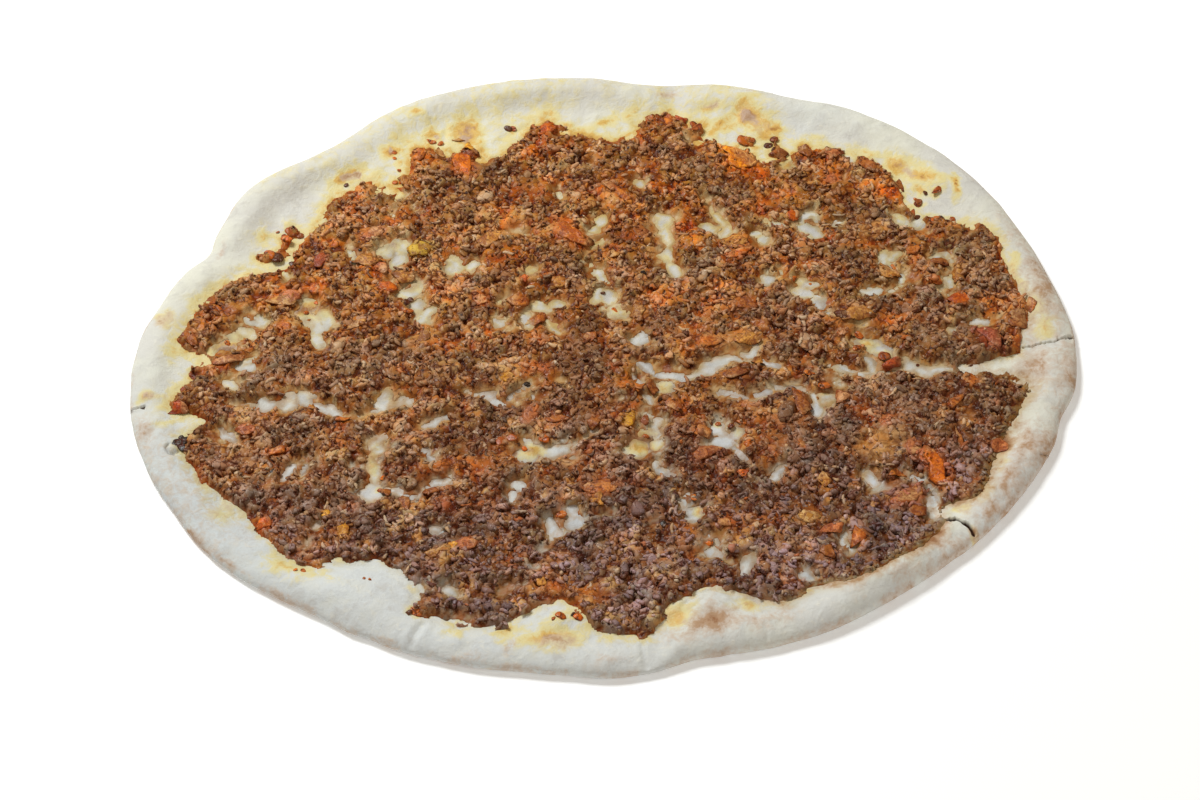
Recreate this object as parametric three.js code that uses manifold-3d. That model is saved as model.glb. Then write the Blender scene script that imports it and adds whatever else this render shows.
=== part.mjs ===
// Lahmacun: a thin oval flatbread with a raised, bubbly rim, covered with a
// thin layer of minced meat that is dotted with bare patches, and with the
// larger chopped pepper, tomato and onion pieces set into the mince.
//
// Millimetres, +Z up. The bread lies on its flat underside at z = 0, its long
// axis runs along X, and the origin is under the middle of its bounding box.
// Angles are in degrees, counted from +X towards +Y.

import * as THREE from 'three';
import { mergeVertices } from 'three/addons/utils/BufferGeometryUtils.js';
import Module from 'manifold-3d';

// ------------------------------------------------------------ dimensions

// outline of the bread: mean radius, slow waves and local bulges or dents
const MEAN_RADIUS = 135.2;
const OUTLINE_WAVES = [
  { n: 2, height: 13.16, at: 4.45 },
  { n: 3, height: 1.73, at: -49.7 },
  { n: 4, height: 1.18, at: -2.3 },
  { n: 5, height: 2.36, at: 30.3 },
];
const OUTLINE_BULGES = [
  { at: 139.1, height: 8.6, spread: 9.2 },
  { at: -71.3, height: 5.5, spread: 15.0 },
  { at: -11.5, height: 6.8, spread: 16.0 },
  { at: 73.7, height: -3.3, spread: 7.9 },
  { at: 114.8, height: 6.7, spread: 16.0 },
  { at: 152.9, height: -2.6, spread: 2.7 },
  { at: 51.4, height: -2.0, spread: 4.9 },
  { at: -96.3, height: 3.7, spread: 8.3 },
  { at: -153.9, height: 2.4, spread: 8.1 },
  { at: -20.3, height: -1.9, spread: 3.1 },
];

// section of the bread
const BASE_THICKNESS = 2.8;      // under the topping
const EDGE_HEIGHT = 1.6;         // height of the widest line of the edge
const EDGE_UNDERCUT = 1.4;       // how far the underside stops short of it
const RIM_HEIGHT = 5.4;          // usual top of the rim
const RIM_CREST = 7.0;           // distance of the crest from the edge
const RIM_FALL = 6.0;            // spread of the inner slope of the rim

// where the rim stands higher or lower than usual
const RIM_SWELLS = [
  { at: -154, height: -0.5, spread: 14 },
  { at: 136, height: 1.4, spread: 12 },
  { at: 152.9, height: -1.4, spread: 3 },
  { at: 121.5, height: -1.3, spread: 4 },
  { at: 95, height: 1.3, spread: 16 },
  { at: 69, height: -1.6, spread: 4 },
  { at: 44, height: 0.8, spread: 12 },
  { at: -7.6, height: -1.5, spread: 3.5 },
  { at: -33, height: 1.0, spread: 14 },
  { at: -58, height: 1.6, spread: 12 },
  { at: -94, height: -0.9, spread: 5 },
  { at: 179, height: -1.1, spread: 4 },
];

// blisters where the crust puffed up: middle, length, width, turn, height
const BLISTERS = [
  { x: -88, y: -83, length: 40, width: 24, turn: -22, height: 3.4 },
  { x: -33, y: -104, length: 27, width: 14, turn: -2, height: 2.2 },
  { x: 14, y: -106, length: 30, width: 16, turn: 3, height: 2.6 },
  { x: 121, y: 54, length: 22, width: 12, turn: -48, height: 1.8 },
  { x: 71, y: -104, length: 36, width: 12, turn: 16, height: 1.2 },
];

// mince: bare margin of the bread outside it, with its bays and lobes
const MARGIN = 12.3;
const MARGIN_BAYS = [
  { at: -176.4, depth: 10.3, spread: 2.4 },
  { at: -157.3, depth: 5.2, spread: 6.3 },
  { at: -136.5, depth: 15.4, spread: 7.1 },
  { at: -107.8, depth: 13.7, spread: 6.4 },
  { at: -82.0, depth: 12.0, spread: 7.7 },
  { at: -65.8, depth: 5.5, spread: 3.3 },
  { at: -48.7, depth: -3.9, spread: 20.0 },
  { at: -41.3, depth: 6.7, spread: 2.3 },
  { at: -37.7, depth: -1.1, spread: 2.0 },
  { at: -26.3, depth: 4.7, spread: 6.1 },
  { at: -12.9, depth: 21.4, spread: 2.1 },
  { at: -8.4, depth: 5.6, spread: 3.8 },
  { at: 13.4, depth: -9.0, spread: 5.4 },
  { at: 20.6, depth: 15.1, spread: 9.1 },
  { at: 47.6, depth: 8.1, spread: 3.4 },
  { at: 56.5, depth: 17.8, spread: 20.0 },
  { at: 69.5, depth: -11.6, spread: 5.2 },
  { at: 82.8, depth: 13.9, spread: 9.6 },
  { at: 103.8, depth: 23.6, spread: 8.8 },
  { at: 118.0, depth: -14.5, spread: 5.0 },
  { at: 120.0, depth: 25.0, spread: 7.7 },
  { at: 143.1, depth: 16.9, spread: 12.5 },
  { at: 150.8, depth: 5.0, spread: 2.4 },
  { at: 173.8, depth: 10.7, spread: 4.0 },
];
const MINCE_DEPTH = 3.3;         // mean depth of the layer
const MINCE_LUMPS = 0.8;         // how far lumps rise over it or sink
const MINCE_THIN_EDGE = 6.0;     // width over which the layer thins out
const MINCE_GRID = 9.6;          // spacing of the relief of the layer

// patches where the bread shows through the mince
const BARE_PATCHES = [
  { x: -79.3, y: -38.8, length: 29.4, width: 11.7, turn: 84 },
  { x: 4.5, y: 22.2, length: 25.6, width: 10.1, turn: 106 },
  { x: 27.2, y: 43.3, length: 33.1, width: 6.9, turn: 83 },
  { x: 83.4, y: -16.4, length: 21.5, width: 12.7, turn: 49 },
  { x: -89.9, y: 25.7, length: 18.3, width: 11.9, turn: 85 },
  { x: 39.9, y: -10.9, length: 25.2, width: 8.9, turn: 7 },
  { x: 73.4, y: 43.7, length: 20.3, width: 10.5, turn: 160 },
  { x: -56.7, y: 29.1, length: 20.6, width: 8.2, turn: 107 },
  { x: -102.9, y: -4.7, length: 19.0, width: 7.5, turn: 173 },
  { x: 6.4, y: -40.6, length: 15.6, width: 10.1, turn: 51 },
  { x: 69.7, y: 14.4, length: 15.7, width: 8.5, turn: 105 },
  { x: 15.6, y: -14.5, length: 17.1, width: 9.1, turn: 120 },
  { x: -28.4, y: -37.4, length: 16.4, width: 10.4, turn: 1 },
  { x: 31.6, y: -41.4, length: 11.3, width: 10.5, turn: 162 },
  { x: 46.3, y: 47.4, length: 12.0, width: 9.2, turn: 113 },
  { x: -69.3, y: -10.6, length: 14.7, width: 6.9, turn: 171 },
  { x: -62.0, y: 53.4, length: 11.3, width: 8.8, turn: 76 },
  { x: -15.1, y: 22.2, length: 9.7, width: 6.7, turn: 29 },
  { x: -25.0, y: -67.0, length: 13.1, width: 8.2, turn: 30 },
  { x: -40.6, y: 43.0, length: 11.0, width: 7.1, turn: 154 },
  { x: 15.3, y: -68.1, length: 11.6, width: 6.8, turn: 113 },
  { x: 63.4, y: -32.6, length: 9.2, width: 7.7, turn: 15 },
  { x: 88.4, y: -73.2, length: 18.0, width: 5.4, turn: 102 },
  { x: 59.6, y: 21.5, length: 9.6, width: 5.6, turn: 34 },
];

// chopped vegetables large enough to be pieces of their own
const PIECE_HEIGHT = 4.2;
const PIECE_SEAT = 1.0;          // height of their underside over the bread
const PIECES = [
  { name: 'pepper_piece_1', kind: 'pepper', x: 60, y: 78, length: 13, width: 9, turn: -30 },
  { name: 'pepper_piece_2', kind: 'pepper', x: 81, y: -73, length: 11, width: 6, turn: 20 },
  { name: 'pepper_piece_3', kind: 'pepper', x: 93, y: -62, length: 15, width: 6, turn: 80 },
  { name: 'pepper_piece_4', kind: 'pepper', x: 50, y: 35, length: 10, width: 4.6, turn: 15 },
  { name: 'pepper_piece_5', kind: 'pepper', x: -89, y: 42, length: 10, width: 6, turn: -15 },
  { name: 'tomato_piece_1', kind: 'tomato', x: -33, y: 90, length: 11, width: 8, turn: 80 },
  { name: 'tomato_piece_2', kind: 'tomato', x: -3, y: 54, length: 16, width: 7, turn: -30 },
  { name: 'tomato_piece_3', kind: 'tomato', x: 24, y: -49, length: 10, width: 5, turn: 10 },
  { name: 'tomato_piece_4', kind: 'tomato', x: -12, y: -54, length: 14, width: 5, turn: 4 },
  { name: 'tomato_piece_5', kind: 'tomato', x: 123, y: -13, length: 9, width: 6, turn: 35 },
  { name: 'tomato_piece_6', kind: 'tomato', x: -3, y: 101, length: 8, width: 6, turn: 60 },
  { name: 'onion_piece_1', kind: 'onion', x: -51, y: 54, length: 10, width: 6, turn: 25 },
  { name: 'onion_piece_2', kind: 'onion', x: 54, y: -77, length: 9, width: 4.6, turn: 10 },
];

const GAP = 0.3;                 // clearance between neighbouring solids
const BREAD_SECTORS = 104;
const MINCE_SECTORS = 144;
const PATCH_SIDES = 10;

const COLOURS = {
  bread: 0xe3dccb,
  mince: 0x7d4f38,
  pepper: 0xc8641c,
  tomato: 0xb8432c,
  onion: 0xb08a52,
};

// ------------------------------------------------------------ functions

const rad = THREE.MathUtils.degToRad;
const wrap = (a) => ((a % 360) + 540) % 360 - 180;
const hill = (a, at, spread) => Math.exp(-((wrap(a - at) / spread) ** 2));
const smooth = (t) => THREE.MathUtils.smoothstep(t, 0, 1);

// distance from the middle of the bread to its edge
function breadRadius(angle) {
  let r = MEAN_RADIUS;
  for (const w of OUTLINE_WAVES) r += w.height * Math.cos(w.n * rad(angle - w.at));
  for (const b of OUTLINE_BULGES) r += b.height * hill(angle, b.at, b.spread);
  return r;
}

// distance from the middle of the bread to the edge of the mince
function minceRadius(angle) {
  let margin = MARGIN;
  for (const b of MARGIN_BAYS) margin += b.depth * hill(angle, b.at, b.spread);
  return breadRadius(angle) - margin;
}

function rimHeight(angle) {
  let h = RIM_HEIGHT;
  for (const s of RIM_SWELLS) h += s.height * hill(angle, s.at, s.spread);
  return h;
}

// squared distance from the middle of a turned oval, 1 on its outline
function inOval(o, x, y) {
  const c = Math.cos(rad(o.turn)), s = Math.sin(rad(o.turn));
  const u = ((x - o.x) * c + (y - o.y) * s) / (o.length / 2);
  const v = ((y - o.y) * c - (x - o.x) * s) / (o.width / 2);
  return u * u + v * v;
}

// height of the upper side of the bread
function breadTop(x, y) {
  const angle = THREE.MathUtils.radToDeg(Math.atan2(y, x));
  const inset = Math.max(breadRadius(angle) - Math.hypot(x, y), 0);
  let z;
  if (inset < RIM_CREST) {
    const t = 1 - inset / RIM_CREST;
    z = EDGE_HEIGHT + (rimHeight(angle) - EDGE_HEIGHT) * Math.sqrt(1 - t * t);
  } else {
    const t = (inset - RIM_CREST) / RIM_FALL;
    z = t > 3 ? BASE_THICKNESS
      : BASE_THICKNESS + (rimHeight(angle) - BASE_THICKNESS) * Math.exp(-t * t) * (1 - smooth(t - 2));
  }
  const shore = smooth(inset / 6);
  for (const b of BLISTERS) {
    const q = inOval(b, x, y);
    if (q < 2.4) z += b.height * shore * Math.exp(-q * 1.6) * (1 - smooth((q - 1.4)));
  }
  return z;
}

// rolling lumps of the mince
function lumps(x, y) {
  return (Math.sin(x * 0.31 + 1.3 * Math.sin(y * 0.13)) * Math.cos(y * 0.37 + 1.1 * Math.sin(x * 0.17))
    + 0.6 * Math.sin(x * 0.11 - y * 0.07 + 2)) / 1.6;
}

// height of the upper side of the mince
function minceTop(x, y) {
  const angle = THREE.MathUtils.radToDeg(Math.atan2(y, x));
  const inset = minceRadius(angle) - Math.hypot(x, y);
  const body = 0.55 + 0.45 * smooth(inset / MINCE_THIN_EDGE);
  return breadTop(x, y) + GAP + (MINCE_DEPTH + MINCE_LUMPS * lumps(x, y)) * body;
}

// ------------------------------------------------------------ solids

const wasm = await Module();
wasm.setup();

function toSolid(geometry) {
  const g = geometry.clone();
  g.deleteAttribute('normal');
  g.deleteAttribute('uv');
  const merged = mergeVertices(g, 1e-4);
  return new wasm.Manifold(new wasm.Mesh({
    numProp: 3,
    vertProperties: new Float32Array(merged.attributes.position.array),
    triVerts: new Uint32Array(merged.index.array),
  }));
}

function toGeometry(solid) {
  const mesh = solid.getMesh();
  const g = new THREE.BufferGeometry();
  g.setAttribute('position', new THREE.BufferAttribute(new Float32Array(mesh.vertProperties), 3));
  g.setIndex(new THREE.BufferAttribute(new Uint32Array(mesh.triVerts), 1));
  g.computeVertexNormals();
  return g;
}

// bread: rings of the section from the middle of the top, over the rim and
// back to the middle of the underside
function breadGeometry() {
  const insets = [36, 29, 24, 20, 16, 12.5, 9.5, 7, 4.2, 2.0, 0.6, 0];
  const under = [EDGE_UNDERCUT];
  const rings = insets.length + under.length;
  const verts = [], index = [];
  for (let k = 0; k < rings; k++) {
    for (let i = 0; i < BREAD_SECTORS; i++) {
      const angle = (i / BREAD_SECTORS) * 360;
      const inset = k < insets.length ? insets[k] : under[k - insets.length];
      const r = breadRadius(angle) - inset;
      const x = r * Math.cos(rad(angle)), y = r * Math.sin(rad(angle));
      verts.push(x, y, k < insets.length ? breadTop(x, y) : 0);
    }
  }
  const top = verts.length / 3;
  verts.push(0, 0, BASE_THICKNESS);
  verts.push(0, 0, 0);
  for (let i = 0; i < BREAD_SECTORS; i++) {
    const j = (i + 1) % BREAD_SECTORS;
    index.push(top, i, j);
    for (let k = 0; k + 1 < rings; k++) {
      const a = k * BREAD_SECTORS, b = (k + 1) * BREAD_SECTORS;
      index.push(a + i, b + i, b + j, a + i, b + j, a + j);
    }
    const last = (rings - 1) * BREAD_SECTORS;
    index.push(top + 1, last + j, last + i);
  }
  const g = new THREE.BufferGeometry();
  g.setAttribute('position', new THREE.Float32BufferAttribute(verts, 3));
  g.setIndex(index);
  g.computeVertexNormals();
  return g;
}

// uneven oval outline of one bare patch
function patchPath(p, n) {
  const points = [];
  for (let i = 0; i < PATCH_SIDES; i++) {
    const t = -(i / PATCH_SIDES) * Math.PI * 2;
    const k = 1 + 0.14 * Math.sin(2 * t + n * 1.7) + 0.12 * Math.sin(3 * t + n * 2.9);
    const u = (p.length / 2) * k * Math.cos(t), v = (p.width / 2) * k * Math.sin(t);
    const c = Math.cos(rad(p.turn)), s = Math.sin(rad(p.turn));
    points.push(new THREE.Vector2(p.x + u * c - v * s, p.y + u * s + v * c));
  }
  return new THREE.Path(points);
}

// one chopped piece: a rounded, uneven block lying on its broad side
function pieceGeometry(p, n, grow) {
  const g = new THREE.IcosahedronGeometry(1, 1);
  g.deleteAttribute('normal');
  g.deleteAttribute('uv');
  const m = mergeVertices(g, 1e-4);
  const pos = m.attributes.position;
  for (let i = 0; i < pos.count; i++) {
    const v = new THREE.Vector3().fromBufferAttribute(pos, i);
    // push the ball towards a rounded block
    const q = (Math.abs(v.x) ** 3 + Math.abs(v.y) ** 3 + Math.abs(v.z) ** 3) ** (1 / 3);
    const k = (1 / q) * (1 + 0.07 * Math.sin(5 * v.x + 3 * v.y + n * 2.1) * Math.cos(4 * v.z + n));
    pos.setXYZ(i, v.x * k * (p.length / 2 + grow), v.y * k * (p.width / 2 + grow),
      v.z * k * (PIECE_HEIGHT / 2 + grow));
  }
  return m;
}

function placePiece(object, p) {
  object.rotation.z = rad(p.turn);
  object.position.set(p.x, p.y, breadTop(p.x, p.y) + GAP + PIECE_SEAT + PIECE_HEIGHT / 2);
  object.updateMatrix();
}

// mince: a slab with a lumpy top, trimmed to its outline and bare patches,
// seated on the bread and cut round the chopped pieces
function minceSolid(breadMesh) {
  const span = 2 * MEAN_RADIUS + 40, low = 1.2;
  const cells = Math.round(span / MINCE_GRID);
  const slab = new THREE.BoxGeometry(span, span, 10, cells, cells, 1);
  const pos = slab.attributes.position;
  for (let i = 0; i < pos.count; i++) {
    const x = pos.getX(i), y = pos.getY(i);
    pos.setZ(i, pos.getZ(i) > 0 ? minceTop(x, y) : low);
  }

  const outline = [];
  for (let i = 0; i < MINCE_SECTORS; i++) {
    const angle = (i / MINCE_SECTORS) * 360;
    const r = minceRadius(angle);
    outline.push(new THREE.Vector2(r * Math.cos(rad(angle)), r * Math.sin(rad(angle))));
  }
  const shape = new THREE.Shape(outline);
  shape.holes = BARE_PATCHES.map(patchPath);
  const prism = new THREE.ExtrudeGeometry(shape, { depth: 20, bevelEnabled: false, curveSegments: 1 });

  const raised = breadMesh.geometry.clone().translate(0, 0, GAP);
  let solid = toSolid(slab).intersect(toSolid(prism)).subtract(toSolid(raised));
  PIECES.forEach((p, n) => {
    const pocket = new THREE.Object3D();
    placePiece(pocket, p);
    solid = solid.subtract(toSolid(pieceGeometry(p, n, GAP).applyMatrix4(pocket.matrix)));
  });
  return solid;
}

// ------------------------------------------------------------ the model

function mesh(name, geometry, colour, roughness) {
  const m = new THREE.Mesh(geometry, new THREE.MeshStandardMaterial({
    color: colour, roughness, metalness: 0,
  }));
  m.name = name;
  return m;
}

const food = new THREE.Group();

const bread = mesh('flatbread', breadGeometry(), COLOURS.bread, 0.8);
food.add(bread);

food.add(mesh('mince_topping', toGeometry(minceSolid(bread)), COLOURS.mince, 0.6));

const chopped = new THREE.Group();
PIECES.forEach((p, n) => {
  const piece = mesh(p.name, pieceGeometry(p, n, 0), COLOURS[p.kind], 0.45);
  piece.geometry.computeVertexNormals();
  placePiece(piece, p);
  chopped.add(piece);
});
food.add(chopped);

// put the origin under the middle of the bounding box
bread.geometry.computeBoundingBox();
const middle = bread.geometry.boundingBox.getCenter(new THREE.Vector3());
food.position.set(-middle.x, -middle.y, 0);

const lahmacun = new THREE.Group();
lahmacun.add(food);
lahmacun.updateMatrixWorld(true);

export default lahmacun;
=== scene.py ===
"""Lahmacun: the looks of the bread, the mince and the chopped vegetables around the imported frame.

All numbers below are in millimetres and degrees, about the middle of the bread's outline, with angles
counted from +X towards +Y. MIDDLE moves them into the frame, whose origin is under the box's middle.
"""

import math

import bmesh
import bpy
import numpy as np
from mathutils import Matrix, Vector


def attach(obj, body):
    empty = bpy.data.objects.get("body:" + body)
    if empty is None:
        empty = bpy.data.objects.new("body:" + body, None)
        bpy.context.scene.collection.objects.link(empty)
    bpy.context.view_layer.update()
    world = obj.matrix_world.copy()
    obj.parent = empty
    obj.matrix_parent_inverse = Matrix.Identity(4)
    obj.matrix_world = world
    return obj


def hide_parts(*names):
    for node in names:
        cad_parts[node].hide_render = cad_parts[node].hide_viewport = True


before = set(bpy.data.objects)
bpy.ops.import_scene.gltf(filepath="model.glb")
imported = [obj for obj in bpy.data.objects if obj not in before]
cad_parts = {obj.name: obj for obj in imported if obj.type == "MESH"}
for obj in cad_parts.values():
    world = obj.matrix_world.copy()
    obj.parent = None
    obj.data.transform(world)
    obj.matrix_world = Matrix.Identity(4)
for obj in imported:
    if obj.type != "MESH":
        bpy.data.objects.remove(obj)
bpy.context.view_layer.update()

MM = 0.001
MIDDLE = np.array([1.247, -0.154, 0.0])

# ------------------------------------------------------------------ the bread's form (as in the CAD)

MEAN_RADIUS = 135.2
OUTLINE_WAVES = [(2, 13.16, 4.45), (3, 1.73, -49.7), (4, 1.18, -2.3), (5, 2.36, 30.3)]
OUTLINE_BULGES = [
    (139.1, 8.6, 9.2), (-71.3, 5.5, 15.0), (-11.5, 6.8, 16.0), (73.7, -3.3, 7.9), (114.8, 6.7, 16.0),
    (152.9, -2.6, 2.7), (51.4, -2.0, 4.9), (-96.3, 3.7, 8.3), (-153.9, 2.4, 8.1), (-20.3, -1.9, 3.1),
]
BASE_THICKNESS, EDGE_HEIGHT, RIM_HEIGHT, RIM_CREST, RIM_FALL = 2.8, 1.6, 5.4, 7.0, 6.0
RIM_SWELLS = [
    (-154, -0.5, 14), (136, 1.4, 12), (152.9, -1.4, 3), (121.5, -1.3, 4), (95, 1.3, 16), (69, -1.6, 4),
    (44, 0.8, 12), (-7.6, -1.5, 3.5), (-33, 1.0, 14), (-58, 1.6, 12), (-94, -0.9, 5), (179, -1.1, 4),
]
# x, y, length, width, turn, height
BLISTERS = [
    (-88, -83, 40, 24, -22, 3.4), (-33, -104, 27, 14, -2, 2.2), (14, -106, 30, 16, 3, 2.6),
    (121, 54, 22, 12, -48, 1.8), (71, -104, 36, 12, 16, 1.2),
]
MARGIN = 12.3
MARGIN_BAYS = [
    (-176.4, 10.3, 2.4), (-157.3, 5.2, 6.3), (-136.5, 15.4, 7.1), (-107.8, 13.7, 6.4), (-82.0, 12.0, 7.7),
    (-65.8, 5.5, 3.3), (-48.7, -3.9, 20.0), (-41.3, 6.7, 2.3), (-37.7, -1.1, 2.0), (-26.3, 4.7, 6.1),
    (-12.9, 21.4, 2.1), (-8.4, 5.6, 3.8), (13.4, -9.0, 5.4), (20.6, 15.1, 9.1), (47.6, 8.1, 3.4),
    (56.5, 17.8, 20.0), (69.5, -11.6, 5.2), (82.8, 13.9, 9.6), (103.8, 23.6, 8.8), (118.0, -14.5, 5.0),
    (120.0, 25.0, 7.7), (143.1, 16.9, 12.5), (150.8, 5.0, 2.4), (173.8, 10.7, 4.0),
]

# bare patches in the mince: x, y, length, width, turn
PATCHES = [
    (-82, -45.5, 9, 7, 60), (6, 16, 8, 5, 153), (2.4, 24, 8, 4.4, 72), (-79.5, -37.5, 9, 4.6, 80), (75, 41, 11, 6, 145),
    (28, 53, 9, 7, 50), (-87, 28, 9, 6, 86), (35, -12.2, 15, 4.2, 8), (-77.2, -28, 9, 4.6, 88), (83, -12, 8, 7, 97),
    (5.6, 22, 8, 5.4, 81), (-98, -5, 8, 6, 100), (-55, 24, 9, 6, 33), (-28, -68, 10, 5, 72), (12.5, -10.5, 10, 3.4, 128),
    (-103, -5, 9, 6, 59), (-32, -39, 9, 6, 8), (3, -43, 8, 7, 1), (-23, -38, 10, 5, 172), (45.8, -8.4, 8, 4.4, 35),
    (68, 14, 8, 6, 154), (28, 46, 9, 5, 79), (70, 18, 9, 5, 144), (-59, 35, 9, 5, 14), (27, 32, 8, 6, 107),
    (88, -15, 8, 6, 129), (-22, -66, 8, 6, 97), (8, -35, 7, 6, 150), (-110, -4, 9, 5, 171), (30, -44, 9, 5, 150),
    (3.4, 32, 10, 3, 108), (26, 38, 8, 5, 86), (77, 46, 7, 6, 22), (9, -41, 7, 6, 51), (35, -42, 8, 5, 69),
    (107, 39, 9, 5, 108), (-91, 25, 7, 6, 46), (16, -70, 8, 5, 20), (62, -33, 10, 4, 96),
    (18, -14, 8, 5, 166), (-57, 30, 7, 5, 71), (-29, -35, 8, 5, 116), (65.4, 46.2, 9, 3.4, 151), (-73, -10, 8, 5, 66),
    (111, 36, 7, 5, 170), (86.5, -68, 8, 2.6, 140), (-43, 44, 8, 5, 90), (95, -23, 7, 5, 44), (-13, 23, 7, 5, 122),
    (16, -19, 7, 5, 90), (48, 45, 7, 5, 83), (28, -93, 8, 4, 65), (91, 11, 10, 4, 178), (82, -21, 8, 4, 76),
    (23, 70.4, 4.6, 3, 30), (-91, 19, 7, 5, 108), (-90, -11, 7, 4, 159), (-38, 42, 7, 5, 38), (76, -22, 11, 3, 138),
    (-69, -11, 6, 5, 62), (58, 21, 6, 5, 118), (-74, -47, 10, 3, 155), (-32, 17, 6, 5, 101), (47, 51, 7, 4, 106),
    (-61, 50, 6, 5, 70), (30, -38, 6, 5, 93), (-60, 56, 6, 5, 65), (-118, 25, 6, 5, 150), (-17, 21, 6, 5, 138),
    (-115, 12, 7, 4, 5), (99, -24, 6, 5, 170), (43, 47, 6, 5, 31), (12, 3, 6, 5, 131), (72, 9, 8, 3, 111),
    (44, -59, 9, 3, 32), (-65, 54, 6, 5, 163), (66, -32, 6, 5, 53), (-57, -20, 11, 3, 21), (97, 24, 7, 4, 78),
    (-114, 26, 6, 5, 140), (-94, 30, 8, 3, 147), (-65, -11, 5, 5, 11), (7, 57, 6, 4, 47), (90, -78, 8, 2.8, 86),
    (19, -85, 6, 4, 47), (116, 12, 8, 3, 60), (-76, 55, 9, 3, 110), (101, 25, 5, 4, 171), (-36, -51, 6, 4, 136),
    (-120, 5, 5, 5, 132), (96, 72, 6, 4, 128), (10, -53, 6, 4, 156), (125, -32, 11, 2, 161), (60, 40, 6, 4, 58),
    (4, 53, 6, 4, 51), (-16, 13, 7, 3, 122), (19, -80, 7, 3, 131), (-115, 15, 6, 3, 17), (58, 43, 5, 4, 177),
    (-124, -16, 8, 2, 126), (14, -65, 7, 3, 76), (-109, 31, 6, 4, 101), (-98, 50, 5, 4, 102),
    (-111, 30, 6, 3, 138), (122, -8, 7, 3, 168), (-62, -88, 6, 3, 149), (60, -89, 7, 3, 79), (-106, -33, 7, 3, 56),
    (49, -14, 7, 3, 149), (46, -99, 6, 3, 128), (62, 23, 6, 3, 64), (118, 21, 5, 4, 99), (-59, -45, 7, 3, 16),
    (-4, 71, 6, 3, 76), (73, -67, 6, 3, 91), (-40, -12, 6, 3, 153), (112, -10, 5, 3, 14), (9, -49, 6, 3, 63),
    (115, 22, 5, 3, 17), (-101, -32, 8, 2, 71), (-23, 17, 6, 3, 73), (-63, -64, 5, 3, 160), (-38, -54, 6, 3, 74),
    (2, 99, 5, 3, 126), (-71, -85, 6, 2, 90), (11, -23, 5, 3, 100), (-19, 55, 5, 2, 140), (-60, 70, 4, 3, 98),
    (-58, 79, 6, 2, 73), (127, 34, 6, 2, 136), (-85, 71, 8, 2, 52), (46, 87, 5, 2, 158), (115, 6, 4, 3, 179),
    (5, 46, 5, 2, 28), (-19, 38, 4, 3, 38), (83, -4, 3, 3, 28), (-30, 27, 4, 2, 35), (-65, 84, 6, 2, 124),
    (86, 42, 4, 3, 65), (-26, -16, 4, 2, 174), (-34, -17, 5, 2, 145), (69, -25, 6, 1.5, 132), (8, -14, 4, 2, 112),
    (100, 15, 4, 2, 75), (23, -90, 5, 2, 109), (-100, -56, 3, 2, 71), (-46, -90, 3, 2, 42), (105, -26, 12, 4, 4),
    (116, -27, 12, 4, 0), (-62, -34, 4, 2, 100), (-93.4, 33.4, 8.4, 6.4, 40), (74.6, 72, 8, 3.0, 82), (6, 55, 9, 2.2, 45), (-121, 21, 10, 5.2, 15),
]

# narrow veins of bare dough: points, half width
VEINS = [
    ([(-98, -7), (-94, -10), (-91, -11)], 1.2), ([(-87, -13), (-81, -15), (-76, -13)], 1.1), ([(-122, -2), (-112, -4)], 0.8),
    ([(-85.6, -33), (-81, -36)], 0.8), ([(-78, -45.5), (-73, -48), (-67, -48.8), (-62, -46.4), (-56.5, -43.6)], 1.15),
    ([(-46, -8.6), (-41, -12.4), (-36, -15.8), (-32, -18.6)], 1.2), ([(-32, -14.6), (-28, -12), (-24.6, -10)], 0.8),
    ([(-30, -15.4), (-24, -17)], 0.6), ([(-18.4, -9.4), (-15, -10.2)], 0.6), ([(43, -11), (47, -14.4), (52, -15.2)], 0.8),
    ([(18, -15.4), (23, -15.4), (28, -14)], 1.1), ([(31, -22.4), (37, -25), (43, -26.8), (48, -26)], 0.75),
    ([(50, -25), (56, -24.4), (60, -27), (61.6, -31)], 0.9), ([(70, -16.4), (73, -21), (77, -24), (82, -23.4), (84, -19.4)], 1.2),
    ([(82, -23.6), (88, -24.2), (93, -23)], 0.9), ([(70, -27), (70, -24.4), (73, -22)], 0.6),
    ([(99, -23), (106, -26), (112, -27.6), (125, -28)], 0.9), ([(82.4, -65.4), (86.4, -67.6), (89.6, -71.4), (91, -75.4), (90, -80), (87.4, -84)], 1.1),
    ([(62, 47.6), (66, 46), (70, 43), (74, 42)], 1.0), ([(44.4, 60.6), (45, 57), (45.8, 53)], 0.5),
    ([(87, 9.8), (92, 9.6), (96.4, 10), (99.4, 12.4), (100.4, 16), (99.4, 19.4), (98.4, 22)], 0.8),
    ([(70.6, 11.6), (72.4, 8), (74.4, 4)], 0.8), ([(-18, -37), (-14, -35.4), (-10, -33.4)], 0.45),
    ([(-24, -37), (-21, -39.4), (-18, -42.4)], 0.9), ([(33, -46), (35, -49.4), (37, -53)], 0.8),
    ([(-29, -70), (-30, -74), (-32, -77)], 0.6), ([(8.4, -28.6), (11, -31), (11.4, -36), (10, -41)], 1.0),
    ([(-43.6, 48.4), (-41, 45.4)], 0.6), ([(0, 38), (3, 33.4), (5, 28)], 0.9),
]
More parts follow.
